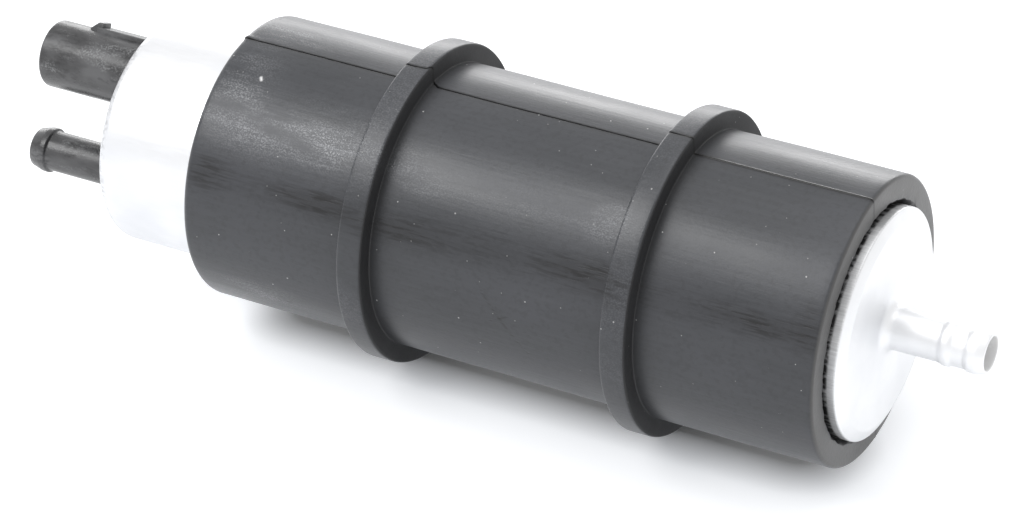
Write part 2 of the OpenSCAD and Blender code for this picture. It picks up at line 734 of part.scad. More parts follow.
module armature_shaft() {
    shoulder_x = core_back_x + insulator_t;
    color("#c3c6c9") difference() {
        union() {
            on_axis(shaft_x) cylinder(r = shaft_r, h = shaft_end_x - shaft_x);
            on_axis(shoulder_x) cylinder(r = shoulder_r, h = rear_washer_x - shoulder_x);
        }
        on_axis(ring_x) difference() {
            cylinder(r = shaft_d, h = shaft_end_x - ring_x + over);
            translate([0, 0, -over]) flats(flat_half, shaft_end_x - ring_x + 3 * over);
        }
    }
}

module slotted(r, cut_r) {
    difference() {
        circle(r);
        ring_of(slots, slot_centre_r) circle(cut_r);
        ring_of(slots, core_r) square([2 * (core_r - slot_centre_r), slot_mouth], center = true);
        circle(shaft_r + seal_gap);
    }
}

module armature_core() {
    color("#7f8388") on_axis(core_x) linear_extrude(core_len) slotted(core_r, slot_d / 2);
}

module end_insulators() {
    color("#5b7f4f") for (x = [core_x - insulator_t, core_back_x]) on_axis(x)
        linear_extrude(insulator_t) slotted(core_r - 2 * fit_gap, slot_d / 2);
}

module armature_windings() {
    inner_r = slot_centre_r - slot_d / 2 - fit_gap;
    outer_r = slot_centre_r + slot_d / 2 + 3 * fit_gap;
    end_turns = concat([[inner_r, 0], [outer_r, 0]],
        arc([outer_r - winding_round, winding_len - winding_round], winding_round, 0, 90),
        arc([inner_r + winding_round, winding_len - winding_round], winding_round, 90, 180));
    color("#a34f24") {
        on_axis(core_x - insulator_t - over) ring_of(slots, slot_centre_r)
            cylinder(r = slot_d / 2 - 2 * fit_gap, h = core_len + 2 * (insulator_t + over));
        on_axis(core_back_x + insulator_t) rotate_extrude() polygon(end_turns);
        on_axis(core_x - insulator_t) mirror([0, 0, 1]) rotate_extrude() polygon(end_turns);
    }
}

// Commutator: a flat ring of segments on copper plates, carried by a moulded hub
module commutator_hub() {
    color("#5a3d2b") on_axis() difference() {
        union() {
            translate([0, 0, hub_front_x]) cylinder(r = collar_r, h = core_x - insulator_t - hub_front_x);
            translate([0, 0, hub_back_x - hub_t]) cylinder(r = comm_r, h = hub_t);
        }
        translate([0, 0, hub_front_x - over])
            cylinder(r = shaft_r + seal_gap, h = core_x - hub_front_x + over);
    }
}

module commutator_ring(x, r, h) {
    pitch = 360 / slots;
    on_axis(x) for (i = [0:slots - 1])
        sector(collar_r + side_gap, r, i * pitch + segment_gap / 2, (i + 1) * pitch - segment_gap / 2, h);
}

module commutator_plates() {
    color("#c98d5a") commutator_ring(comm_x + segment_t, comm_r + plate_tab, plate_t);
}

module commutator_segments() { color("#45474a") commutator_ring(comm_x, comm_r, segment_t); }

module thrust_washers() {
    color("#d8d2b8") for (x = [carrier_x + side_gap, rear_washer_x])
        on_axis(x) tube(bush_r - fit_gap, shaft_r + seal_gap, washer_t);
}

// Pump stage: a gerotor pair between two plates, held together by screws
module kidney(side, h) {
    rotate(side * 90) sector(kidney_in_r, kidney_out_r, 90 - kidney_arc / 2, 90 + kidney_arc / 2, h);
}

module screw_ring() { ring_of(3, screw_ring_r, 90) children(); }

module outlet_plate() {
    color("#9b9ea2") on_axis(motor_x) difference() {
        cylinder(r = core_fit_r, h = outlet_plate_t);
        translate([0, 0, -over]) cylinder(r = shaft_r + 3 * fit_gap, h = outlet_plate_t + 2 * over);
        translate([0, 0, -over]) cylinder(r = bush_r + seal_gap, h = bush_len + over);
        translate([0, 0, -over]) kidney(1, outlet_plate_t + 2 * over);
        translate([0, -relief_off, -over]) cylinder(r = relief_hole_r, h = outlet_plate_t + 2 * over);
        translate([0, 0, outlet_plate_t - screw_bite]) screw_ring()
            cylinder(r = screw_r + seal_gap, h = screw_bite + over);
    }
}

module pump_ring() {
    color("#74777b") on_axis(ring_x) linear_extrude(ring_w) difference() {
        circle(core_fit_r);
        translate([0, ecc]) circle(rotor_r + run_gap);
        translate([0, -relief_off]) circle(relief_hole_r);
        screw_ring() circle(screw_r + fit_gap);
    }
}

module outer_rotor() {
    color("#6a6258") on_axis(ring_x + side_gap) linear_extrude(ring_w - 2 * side_gap) translate([0, ecc])
        difference() {
            circle(rotor_r);
            difference() {
                circle(root_r);
                ring_of(teeth + 1, lobe_pitch_r, 90) circle(lobe_r);
            }
        }
}

// The path of a lobe's centre as the inner rotor sees it, and the outline that rolls inside the lobes.
// By hollow_slow, the angle runs slower through the hollows, where the outline turns fastest
function lobe_path(a) = let (b = (teeth + 1) * a)
    lobe_pitch_r * [cos(a), sin(a)] + ecc * [cos(b), sin(b)];
function lobe_normal(a) = let (b = (teeth + 1) * a)
    lobe_pitch_r * [cos(a), sin(a)] + (teeth + 1) * ecc * [cos(b), sin(b)];
function inner_point(a) = let (n = lobe_normal(a)) lobe_path(a) - (lobe_r + mesh_gap) * n / norm(n);
hollow_slow = 0.8;
inner_outline = [for (i = [0:teeth * lobe_steps - 1])
    let (s = 360 * i / (teeth * lobe_steps))
    inner_point(s + hollow_slow * 180 / PI / teeth * sin(teeth * s))];

module inner_rotor() {
    color("#a9a49a") on_axis(ring_x + side_gap) difference() {
        linear_extrude(ring_w - 2 * side_gap) rotate(90) polygon(inner_outline);
        translate([0, 0, -over]) intersection() {
            cylinder(r = shaft_r + seal_gap, h = ring_w + 2 * over);
            flats(flat_half + seal_gap, ring_w + 2 * over);
        }
    }
}

module inlet_plate() {
    color("#9b9ea2") difference() {
        on_axis(rotor_x) cylinder(r = core_fit_r, h = inlet_plate_t);
        on_axis(rotor_x - over) {
            cylinder(r = shaft_r + run_gap, h = shaft_pocket + pad_t + over);
            kidney(-1, inlet_plate_t + 2 * over);
            translate([0, -relief_off]) cylinder(r = relief_hole_r, h = inlet_plate_t);
            screw_ring() cylinder(r = screw_r + fit_gap, h = inlet_plate_t + 2 * over);
        }
        on_axis(relief_seat_x) translate([0, -relief_off]) cylinder(r = relief_bore_r, h = inlet_plate_t);
        on_axis(chamber_x - screw_head_t) screw_ring()
            cylinder(r = screw_head_r + 2 * fit_gap, h = screw_head_t + over);
        ring_groove(rotor_x + inlet_plate_t / 2);
    }
}

module thrust_pad() {
    color("#d0d2d5") on_axis(rotor_x + shaft_pocket) cylinder(r = shaft_r - seal_gap, h = pad_t);
}

module stage_screws() {
    head_x = chamber_x - screw_head_t;
    tip_x = ring_x - screw_bite + 2 * fit_gap;
    color("#b4b7ba") difference() {
        union() {
            on_axis(head_x) screw_ring() cylinder(r = screw_head_r, h = screw_head_t - fit_gap);
            on_axis(tip_x) screw_ring() cylinder(r = screw_r, h = head_x - tip_x + over);
        }
        on_axis(chamber_x - screw_head_t / 2) screw_ring() cylinder(r = screw_r, h = screw_head_t, $fn = 6);
    }
}

// Relief valve: passes fuel from the motor's side back to the inlet when the outlet is blocked
module relief_ball() {
    color("#c8cacc") translate([relief_ball_x, 0, -relief_off]) sphere(r = relief_ball_d / 2);
}

module relief_spring() {
    clear_r = relief_spring_r - spring_wire_r;
    low_x = relief_ball_x + sqrt(pow(relief_ball_d / 2, 2) - pow(clear_r, 2)) + seal_gap;
    color("#9a9c9e") translate([0, 0, -relief_off])
        spring(low_x, relief_top_x - relief_cap_t - seal_gap, relief_spring_r, relief_spring_r, 5);
}

module relief_retainer() {
    length = relief_top_x - relief_cage_x;
    color("#b08d57") translate([0, 0, -relief_off]) on_axis(relief_cage_x) difference() {
        cylinder(r = relief_bore_r - seal_gap, h = length);
        translate([0, 0, -over]) cylinder(r = relief_cage_r, h = length - relief_cap_t + over);
        cylinder(r = relief_hole_r / 2, h = length + over);
    }
}

// Inlet strainer: a perforated floor in a rim that is clamped between the closed end and the inlet plate
module inlet_strainer() {
    rim_r = core_fit_r - strainer_rim;
    pitch = (rim_r - strainer_hole_d) / strainer_rows;
    color("#d6d8da") {
        on_axis(chamber_x) tube(core_fit_r, rim_r, chamber_len);
        on_axis(wall_x - strainer_gap - strainer_t) linear_extrude(strainer_t) difference() {
            circle(rim_r + strainer_rim / 2);
            for (n = [1:strainer_rows]) ring_of(6 * n, n * pitch) circle(strainer_hole_d / 2);
        }
    }
}

rubber_sleeve();
motor_casing();
end_cover();
cover_seal();
terminal_positive();
terminal_negative();
choke_cores();
choke_windings();
check_valve_seat();
check_valve_ball();
check_valve_spring();
brush_carrier();
brush_positive();
brush_negative();
brush_spring_positive();
brush_spring_negative();
brush_lead_positive();
brush_lead_negative();
front_bearing();
flux_ring();
magnet_north();
magnet_south();
magnet_clips();
armature_shaft();
armature_core();
end_insulators();
armature_windings();
commutator_hub();
commutator_plates();
commutator_segments();
thrust_washers();
outlet_plate();
rear_bearing();
pump_ring();
outer_rotor();
inner_rotor();
inlet_plate();
thrust_pad();
stage_screws();
relief_ball();
relief_spring();
relief_retainer();
stage_seal();
inlet_strainer();
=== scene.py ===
"""In-line electric fuel pump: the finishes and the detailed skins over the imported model.

The pump's axis is X, with the hose nozzle of the inlet at +X and the connector at -X. Shapes are written in
millimetres and put into their meshes in metres.
"""

import math

import bpy
import numpy as np
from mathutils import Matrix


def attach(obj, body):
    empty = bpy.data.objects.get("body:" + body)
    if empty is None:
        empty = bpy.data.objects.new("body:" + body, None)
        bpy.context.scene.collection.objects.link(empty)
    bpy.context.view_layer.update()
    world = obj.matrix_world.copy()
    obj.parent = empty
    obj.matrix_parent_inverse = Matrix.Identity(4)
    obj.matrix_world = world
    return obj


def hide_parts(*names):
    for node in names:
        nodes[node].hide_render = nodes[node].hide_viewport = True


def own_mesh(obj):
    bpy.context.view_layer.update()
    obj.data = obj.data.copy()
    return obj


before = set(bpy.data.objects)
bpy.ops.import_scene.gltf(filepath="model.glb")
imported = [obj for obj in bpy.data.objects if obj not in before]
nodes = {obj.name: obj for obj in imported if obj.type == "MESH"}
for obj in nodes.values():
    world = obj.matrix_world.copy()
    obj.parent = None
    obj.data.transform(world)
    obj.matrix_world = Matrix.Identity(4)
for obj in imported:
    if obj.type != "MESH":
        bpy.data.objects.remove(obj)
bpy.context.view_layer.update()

# Camera. The photographer stood beyond the inlet's end, above the pump, with a long lens, so the pump's
# long side hardly narrows towards the connector.
camera_data = bpy.data.cameras.new("camera")
camera_data.sensor_width = 36
camera_data.lens = 149.26
camera_data.clip_start = 0.05
camera = bpy.data.objects.new("camera", camera_data)
camera.location = (0.30415, -0.59121, 0.39972)
camera.rotation_euler = (math.radians(90 - 31.381), 0, math.radians(117.916 - 90))
bpy.context.scene.collection.objects.link(camera)
bpy.context.scene.camera = camera


# Rubber sleeve. Black EPDM moulded round a core in two halves, which leaves a parting line on opposite sides,
# and slid over the casing. Its two ribs keep the clamp in place between them.
def arc(centre_x, centre_r, radius, start, end, steps=6):
    """Points (x, r) at equal angles on a circle about a centre, from the start angle to the end one."""
    a = np.radians(np.linspace(start, end, steps + 1))
    return np.column_stack([centre_x + radius * np.cos(a), centre_r + radius * np.sin(a)])


def refined(outline, step):
    """The same closed outline with points added evenly along each run that is longer than the step."""
    outline = np.asarray(outline, float)
    runs = []
    for a, b in zip(outline, np.roll(outline, -1, axis=0)):
        count = max(1, math.ceil(np.hypot(*(b - a)) / step))
        runs.append(a + (b - a) * (np.arange(count) / count)[:, None])
    return np.concatenate(runs)


def grid_faces(rows, columns, wrap_rows=True):
    """Four-sided faces between neighbouring points of a grid whose columns close on themselves."""
    row = np.arange(rows if wrap_rows else rows - 1)[:, None]
    column = np.arange(columns)[None, :]
    below, beside = (row + 1) % rows, (column + 1) % columns
    corners = [row * columns + column, below * columns + column,
               below * columns + beside, row * columns + beside]
    return np.stack(corners, axis=-1).reshape(-1, 4)


def outward(points, faces):
    """Turns every face round if the volume, summed from the origin over each face's fan, is negative."""
    a, b, c = (points[faces[:, i]] for i in range(3))
    volume = np.einsum("ij,ij->i", a, np.cross(b, c)).sum()
    if faces.shape[1] == 4:
        volume += np.einsum("ij,ij->i", a, np.cross(c, points[faces[:, 3]])).sum()
    return faces if volume > 0 else faces[:, ::-1]


def add_piece(name, points, faces, material, crease=38):
    """A smooth mesh object from points in millimetres, with sharp edges where faces meet past the crease."""
    mesh = bpy.data.meshes.new(name)
    mesh.from_pydata((np.asarray(points) * 0.001).tolist(), [], [list(f) for f in faces])
    mesh.shade_smooth()
    mesh.set_sharp_from_angle(angle=math.radians(crease))
    mesh.materials.append(material)
    piece = bpy.data.objects.new(name, mesh)
    bpy.context.scene.collection.objects.link(piece)
    return piece


def node_in(tree, kind, sockets=None, **settings):
    """A new shader node. A socket given as another node's socket is linked, any other is a plain value."""
    node = tree.nodes.new(kind)
    for key, value in settings.items():
        setattr(node, key, value)
    for key, value in (sockets or {}).items():
        if isinstance(value, bpy.types.NodeSocket):
            tree.links.new(value, node.inputs[key])
        else:
            node.inputs[key].default_value = value
    return node


def new_material(name, colour, roughness, metallic=0.0):
    """A material with one Principled BSDF that starts with these plain values."""
    material = bpy.data.materials.new(name)
    material.use_nodes = True
    shader = material.node_tree.nodes["Principled BSDF"]
    shader.inputs["Base Color"].default_value = (*colour, 1)
    shader.inputs["Roughness"].default_value = roughness
    shader.inputs["Metallic"].default_value = metallic
    return material, material.node_tree, shader


def maths(tree, operation, *values):
    """A Math node's value, from values that are plain or another node's socket."""
    return node_in(tree, "ShaderNodeMath", dict(enumerate(values)), operation=operation).outputs[0]


def vectors(tree, operation, *values):
    """A Vector Math node's result, which is one number for a length, a distance or a dot product."""
    node = node_in(tree, "ShaderNodeVectorMath", dict(enumerate(values)), operation=operation)
    return node.outputs["Value" if operation in ("LENGTH", "DISTANCE", "DOT_PRODUCT") else "Vector"]


def times(tree, first, second):
    """Two values multiplied."""
    return maths(tree, "MULTIPLY", first, second)


def added(tree, first, second, share=1.0):
    """The first value plus a share of the second."""
    return maths(tree, "MULTIPLY_ADD", second, share, first)


def ranged(tree, value, low=0.0, high=1.0, start=0.0, end=1.0):
    """A value that runs from start to end, spread from low to high and held beyond them."""
    return node_in(tree, "ShaderNodeMapRange", {"Value": value, "From Min": start, "From Max": end,
                                                "To Min": low, "To Max": high}).outputs[0]


def blended(tree, mask, first, second):
    """A colour between two, by a mask: each is a plain colour or another node's socket."""
    first, second = (c if isinstance(c, bpy.types.NodeSocket) else (*c, 1) for c in (first, second))
    return node_in(tree, "ShaderNodeMix", {0: mask, 6: first, 7: second}, data_type="RGBA").outputs[2]


def layered(tree, base, *layers):
    """A colour with others laid over it in turn, each given as its mask and itself."""
    for mask, colour in layers:
        base = blended(tree, mask, base, colour)
    return base


def here(tree):
    """The place on the piece, in metres along the shared axes."""
    return node_in(tree, "ShaderNodeTexCoord").outputs["Object"]


def parts_of(tree, vector):
    """A vector's X, Y and Z."""
    return node_in(tree, "ShaderNodeSeparateXYZ", {0: vector}).outputs


def joined_of(tree, x, y):
    """A vector from its X and Y, with a Z of 0."""
    return node_in(tree, "ShaderNodeCombineXYZ", {0: x, 1: y}).outputs[0]


def painted(tree, name):
    """The value of a mesh attribute."""
    return node_in(tree, "ShaderNodeAttribute", attribute_name=name).outputs["Fac"]


def bumped(tree, shader, height, depth, strength):
    """A Bump node of this depth in millimetres on the shader's normal."""
    bump = node_in(tree, "ShaderNodeBump",
                   {"Height": height, "Distance": depth * 0.001, "Strength": strength})
    tree.links.new(bump.outputs[0], shader.inputs["Normal"])


def new_group(name, **inputs):
    """An empty shader group with these inputs. Returns its tree, its input sockets and its Value's."""
    group = bpy.data.node_groups.new(name, "ShaderNodeTree")
    for label, value in inputs.items():
        kind = "NodeSocketVector" if isinstance(value, tuple) else "NodeSocketFloat"
        group.interface.new_socket(label, in_out="INPUT", socket_type=kind).default_value = value
    group.interface.new_socket("Value", in_out="OUTPUT", socket_type="NodeSocketFloat")
    start, end = group.nodes.new("NodeGroupInput"), group.nodes.new("NodeGroupOutput")
    return group, start.outputs, end.inputs["Value"]


def placed(tree, group, **values):
    """A shader group put in a material with these values on its inputs. Returns its value."""
    return node_in(tree, "ShaderNodeGroup", values, node_tree=group).outputs[0]


def grain_group():
    """Noise on Object coordinates stretched per axis, spread between a low and a high limit to 0..1."""
    group, given, result = new_group("grain", Stretch=(1000, 1000, 1000), Detail=4, Low=0.35, High=0.65)
    point = vectors(group, "MULTIPLY", here(group), given["Stretch"])
    noise = node_in(group, "ShaderNodeTexNoise", {"Vector": point, "Scale": 1, "Detail": given["Detail"]})
    group.links.new(ranged(group, noise.outputs[0], start=given["Low"], end=given["High"]), result)
    return group


def dust_group():
    """Sparse round specks: 1 inside Size of a cell's point of a Voronoi pattern, where the cell's own random
    value is below Share, and 0 elsewhere."""
    group, given, result = new_group("dust", Scale=400, Size=0.08, Share=0.2)
    cells = node_in(group, "ShaderNodeTexVoronoi", {"Vector": here(group), "Scale": given["Scale"]})
    near = maths(group, "LESS_THAN", cells.outputs["Distance"], given["Size"])
    random_value = node_in(group, "ShaderNodeSeparateColor", {"Color": cells.outputs["Color"]}).outputs[0]
    group.links.new(times(group, near, maths(group, "LESS_THAN", random_value, given["Share"])), result)
    return group


GRAIN = grain_group()
DUST = dust_group()


def grain(tree, stretch, detail=4, low=0.35, high=0.65):
    """The grain group placed in a material."""
    return placed(tree, GRAIN, Stretch=stretch, Detail=detail, Low=low, High=high)


def dust(tree, scale, size, share):
    """The dust group placed in a material."""
    return placed(tree, DUST, Scale=scale, Size=size, Share=share)


SLEEVE_R, RIB_R, SLEEVE_END = 27.1, 30.6, 63.5
PARTING = (97.1, 277.1)


def rib_outline(x):
    """The rib's outline from left to right: a fillet at each foot and a small round on each top edge."""
    left, right = x - 2.5, x + 2.5
    return np.concatenate([
        arc(left - 0.5, SLEEVE_R + 0.5, 0.5, -90, 0), arc(left + 0.6, RIB_R - 0.6, 0.6, 180, 90),
        arc(right - 0.6, RIB_R - 0.6, 0.6, 90, 0), arc(right + 0.25, SLEEVE_R + 0.25, 0.25, 180, 270)])


sleeve_outline = refined(np.concatenate([
    [[-SLEEVE_END + 1.0, 21.55], [-SLEEVE_END, 22.5]],
    arc(-SLEEVE_END + 1.2, SLEEVE_R - 1.2, 1.2, 180, 90), rib_outline(-26.5), rib_outline(26.5),
    arc(SLEEVE_END - 0.75, SLEEVE_R - 0.75, 0.75, 90, 0),
    [[SLEEVE_END, 22.5], [SLEEVE_END - 1.0, 21.55]]]), 1.3)
# The angles round the sleeve, in degrees, are closer together at the parting lines.
near_line = np.sinh(np.linspace(-3, 3, 37)) / math.sinh(3) * 2.4
around = np.unique(np.round(np.concatenate([np.arange(0, 360, 1.5)] + [p + near_line for p in PARTING]), 3))
x = np.repeat(sleeve_outline[:, :1], len(around), axis=1)
r = np.repeat(sleeve_outline[:, 1:], len(around), axis=1)
hook = -2.4 * np.clip(1 - (x + 24) / 1.7, 0, 1) ** 2 * np.clip((x + 24.7) / 0.7, 0, 1)
near_parting = sum(np.exp(-(((around - p) / 9) ** 2)) for p in PARTING)[None, :]
turn = np.radians(around[None, :] + hook * near_parting)


def from_parting(angles):
    """Distance in millimetres round the sleeve from the nearer parting line, negative on its upper side."""
    gaps = np.stack([(angles - p + 180) % 360 - 180 for p in PARTING])
    nearest = np.abs(gaps).argmin(axis=0)
    return np.radians(np.take_along_axis(gaps, nearest[None, :], axis=0)[0]) * SLEEVE_R


# Relief in millimetres. The groove along a parting line is a ridge beyond the inlet's rib.
across = from_parting(around)[None, :]
outside = np.clip((r - 25.5) / 1.0, 0, 1)
flash = 0.07 * np.exp(-np.abs(across) / 1.2) * (across <= 0)
closed_end = np.clip((x - 27) / 3, 0, 1)
ridge = 0.09 * closed_end * np.exp(-(((across + 0.05) / 0.16) ** 2))
groove = (0.5 - 0.42 * closed_end) * np.exp(-(((across - 0.12 * closed_end) / 0.13) ** 2))
groove = groove * (0.8 + 0.2 * np.sin(0.9 * x) * np.sin(2.3 * x + 1))
wander = 0.035 * (np.sin(3 * turn + 0.05 * x) + 0.6 * np.sin(5 * turn - 0.11 * x + 1.2)
                  + 0.5 * np.sin(2 * turn + 0.21 * x + 2.6) + 0.3 * np.sin(9 * turn + 0.07 * x + 0.4))
r = r + outside * (flash + ridge - groove + wander - 0.15)
tab = np.exp(-(((across + 0.4) / 0.55) ** 2)) * np.clip(1 - (x + SLEEVE_END) / 2.0, 0, 1)
r = r + outside * 0.35 * tab
ragged = np.clip(1 - np.abs(r - 22.5) / 0.4, 0, 1) * (np.abs(np.abs(x) - SLEEVE_END) < 0.05)
r = r + ragged * 0.10 * (np.sin(41 * turn + x) + np.sin(23 * turn + 1.3) + 0.7 * np.sin(97 * turn))
sleeve_points = np.stack([x, r * np.cos(turn), r * np.sin(turn)], axis=-1).reshape(-1, 3)
sleeve_faces = outward(sleeve_points, grid_faces(*x.shape))


def blobs(spots):
    """Soft spots on the sleeve, added up. Each is x, angle, half length, half width in degrees, strength."""
    total = np.zeros_like(x)
    for spot_x, angle, length, width, strength in spots:
        total += strength * np.exp(-((x - spot_x) / length) ** 2 - ((around[None, :] - angle) / width) ** 2)
    return np.clip(total, 0, 1)


def scratch_group():
    """1 on a straight scratch, fading to 0 at its Width. The distance is measured from the point (x, turned
    length) to its nearest point on the line from Start to End, on the unrolled sleeve in millimetres."""
    group, given, result = new_group("scratch", Start=(0, 0, 0), End=(1, 0, 0), Width=0.3)
    x, y, z = parts_of(group, here(group))
    angle = maths(group, "ARCTAN2", times(group, z, -1), times(group, y, -1))
    flat = joined_of(group, times(group, x, 1000), times(group, angle, SLEEVE_R))
    away = vectors(group, "SUBTRACT", flat, given["Start"])
    line = vectors(group, "SUBTRACT", given["End"], given["Start"])
    share = ranged(group, maths(group, "DIVIDE", vectors(group, "DOT_PRODUCT", away, line),
                                vectors(group, "DOT_PRODUCT", line, line)))
    gap = vectors(group, "DISTANCE", away, vectors(group, "MULTIPLY", line, share))
    group.links.new(ranged(group, gap, start=given["Width"], end=0.0), result)
    return group


SCRATCH = scratch_group()
rubber, tree, shader = new_material("rubber", (0.044, 0.046, 0.050), 0.36)
shader.inputs["IOR"].default_value = 1.5
mottle = grain(tree, (28, 70, 70), 6, 0.40, 0.66)
patches = grain(tree, (90, 300, 300), 5, 0.36, 0.60)
streaks = grain(tree, (60, 1300, 1300), 3, 0.25, 0.75)
dashes = times(tree, grain(tree, (160, 1900, 1900), 5, 0.45, 0.58),
               grain(tree, (420, 900, 900), 3, 0.30, 0.48))
pores = grain(tree, (2300, 2600, 2600), 2, 0.3, 0.7)
specks = grain(tree, (3000, 3900, 3900), 1, 0.46, 0.64)
rubbed = grain(tree, (110, 2600, 2600), 4, 0.46, 0.64)
stains = grain(tree, (900, 1100, 1100), 3, 0.5, 0.66)
smears_and_shade, shade = painted(tree, "smears_and_shade"), painted(tree, "shade")
worn = times(tree, painted(tree, "worn"), patches)
rough_skin = added(tree, worn, times(tree, painted(tree, "rib"), mottle), 0.16)
marks = 0.0
for start, end, width in (((-1, -2.4, 0), (8, 9.5, 0), 0.5), ((0.5, 3.5, 0), (4.5, 1.2, 0), 0.35),
                          ((-45, 16.5, 0), (-43, 14.5, 0), 0.35)):
    marks = added(tree, marks, placed(tree, SCRATCH, Start=start, End=end, Width=width))
marks = times(tree, marks, dashes)
flake = placed(tree, SCRATCH, Start=(-54.9, -30.6, 0), End=(-54.6, -30.1, 0), Width=0.42)
# Among these layers, painted shade darkens the sleeve beside the ribs' feet, along the parting lines, in the
# crevice at each end, and in long soft bands. The rest is the rubber's own tone, wear, smears, marks and
# dust.
base = layered(
    tree, blended(tree, mottle, (0.0345, 0.0370, 0.0425), (0.0485, 0.0510, 0.0590)),
    (times(tree, streaks, 0.4), (0.062, 0.065, 0.073)), (times(tree, stains, 0.3), (0.020, 0.021, 0.024)),
    (times(tree, worn, 0.20), (0.16, 0.165, 0.175)),
    (times(tree, worn, times(tree, rubbed, 0.55)), (0.20, 0.205, 0.22)),
    (times(tree, rough_skin, specks), (0.31, 0.315, 0.33)),
    (times(tree, smears_and_shade, 0.5), (0.010, 0.010, 0.012)), (times(tree, smears_and_shade, dashes), (0.005, 0.005, 0.006)),
    (shade, (0.014, 0.014, 0.015)), (painted(tree, "cut_end"), (0.080, 0.079, 0.078)),
    (painted(tree, "parting_and_crevice_shade"), (0.005, 0.005, 0.005)), (times(tree, marks, 0.55), (0.010, 0.010, 0.010)),
    (flake, (0.85, 0.85, 0.85)), (dust(tree, 300, 0.047, 0.55), (0.38, 0.38, 0.38)),
    (dust(tree, 420, 0.052, 0.60), (0.22, 0.22, 0.22)))
tree.links.new(base, shader.inputs["Base Color"])
rough = ranged(tree, added(tree, mottle, streaks, 0.4), 0.29, 0.40)
tree.links.new(added(tree, rough, shade, 0.35), shader.inputs["Roughness"])
height = added(tree, streaks, pores, 0.5)
height = added(tree, height, times(tree, rough_skin, specks), 2.2)
height = added(tree, height, times(tree, smears_and_shade, dashes), -1.6)
height = added(tree, height, marks, -2.0)
bumped(tree, shader, height, 0.025, 0.55)

sleeve = add_piece("rubber_sleeve_skin", sleeve_points, sleeve_faces, rubber)
# Painted shade in the groove of each parting line and in a strip that fades below it, on the outside of the
# sleeve only.
parting_shade_mask = np.exp(-((across / 0.3) ** 2)) + 0.45 * np.exp(-np.clip(across, 0, None) / 0.6) * (across > 0)
parting_shade_mask = np.broadcast_to(parting_shade_mask, x.shape) * np.clip((r - 22.6) / 0.3, 0, 1)
worn_spots = [(-46, 134, 13, 9, 1), (-34, 133, 5, 8, 1), (-50, 215, 9, 10, 0.5), (-19, 137, 6, 8, 0.55),
              (20.5, 134, 4, 7, 0.8), (0, 137, 18, 5, 0.18), (-57, 89, 8, 7, 0.6),
              (-58, 120, 5, 16, 0.5), (-45, 320, 14, 9, 0.8), (12, 30, 16, 7, 0.6), (50, 300, 8, 10, 0.5)]
# Real dark smears, mostly near 158 degrees, and as painted shade the long soft dark bands that run along the
# sleeve at 158 and 340 degrees.
smear_and_shade_spots = [(-36, 158, 6, 3.0, 1.8), (19, 157, 6, 4.0, 1.6), (-59, 158, 4, 7, 0.8), (52, 158, 9, 4, 0.9),
               (61, 155, 2, 9, 0.7), (0, 158, 60, 7, 0.42), (-18, 161, 6, 4, 0.7), (0, 340, 60, 6, 0.7),
               (-30, 20, 30, 5, 0.6)]
# Painted shade in the crevice at the inner edge of each end, where the sleeve meets the casing, with a wavy
# outline.
crevice = np.clip((22.2 + 0.15 * np.sin(31 * turn) * np.sin(17 * turn + 1) - r) / 0.2, 0, 1)
# Painted shade on the +X wall and fillet of each rib and on the sleeve beside it, fading over about 1.8 mm;
# the surface is rougher there too.
beyond_rib = np.where(x > 0, x - 29, x + 24)
shade_mask = 0.85 * np.exp(-np.clip(beyond_rib, 0, None) / 1.8) * (beyond_rib > -0.3) * outside
cut_mask = np.clip((np.abs(x) - SLEEVE_END + 0.45) / 0.3, 0, 1) * np.clip((r - 22.2) / 0.4, 0, 1)
masks = {"cut_end": cut_mask, "parting_and_crevice_shade": np.clip(parting_shade_mask + crevice, 0, 1), "worn": blobs(worn_spots),
         "smears_and_shade": blobs(smear_and_shade_spots), "rib": np.clip((r - 28.6) / 0.6, 0, 1), "shade": shade_mask}
for label, mask in masks.items():
    attribute = sleeve.data.attributes.new(label, "FLOAT", "POINT")
    attribute.data.foreach_set("value", mask.ravel().astype(np.float32))
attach(sleeve, "root")
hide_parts("rubber_sleeve")


# Motor casing. One aluminium can, impact extruded with its closed end and inlet nozzle, turned on the nozzle
# and round the end face, and rolled over the end cover at the front. Its side carries fine drawing strokes.
def turned(outline, segments=160, centre=(0, 0), on_axis=False):
    """An outline (x, r) carried round an axis along X: y = r cos a, z = r sin a, about the centre (y, z).
    With on_axis its first and last points lie on the axis, and each becomes one pole."""
    outline = np.asarray(outline, float)
    body = outline[1:-1] if on_axis else outline
    a = np.linspace(0, 2 * np.pi, segments, endpoint=False)[None, :]
    px = np.repeat(body[:, :1], segments, axis=1)
    points = np.stack([px, centre[0] + body[:, 1:] * np.cos(a), centre[1] + body[:, 1:] * np.sin(a)], axis=-1)
    points = points.reshape(-1, 3)
    faces = grid_faces(len(body), segments, wrap_rows=not on_axis)
    if not on_axis:
        return points, outward(points, faces)
    poles = [[outline[0, 0], *centre], [outline[-1, 0], *centre]]
    first, last = len(points), len(points) + 1
    points = np.concatenate([points, poles])
    column = np.arange(segments)
    beside = (column + 1) % segments
    rim = (len(body) - 1) * segments
    caps = [np.column_stack([np.full(segments, first), column, beside]),
            np.column_stack([np.full(segments, last), rim + beside, rim + column])]
    if outward(points, faces) is faces:
        return points, [*faces.tolist(), *caps[0].tolist(), *caps[1].tolist()]
    return points, [*faces[:, ::-1].tolist(), *caps[0][:, ::-1].tolist(), *caps[1][:, ::-1].tolist()]


def eased(outline, radii, steps=4):
    """The closed or open outline with each corner that has a radius rounded by a curve through its middle:
    a quadratic Bezier that starts and ends that far from the corner."""
    outline = np.asarray(outline, float)
    result = []
    for i, (p, radius) in enumerate(zip(outline, radii)):
        if not radius:
            result.append(p[None])
            continue
        before, after = outline[i - 1] - p, outline[(i + 1) % len(outline)] - p
        a = p + before * min(radius / np.hypot(*before), 0.5)
        b = p + after * min(radius / np.hypot(*after), 0.5)
        t = np.linspace(0, 1, steps + 1)[:, None]
        result.append((1 - t) ** 2 * a + 2 * t * (1 - t) * p + t ** 2 * b)
    return np.concatenate(result)


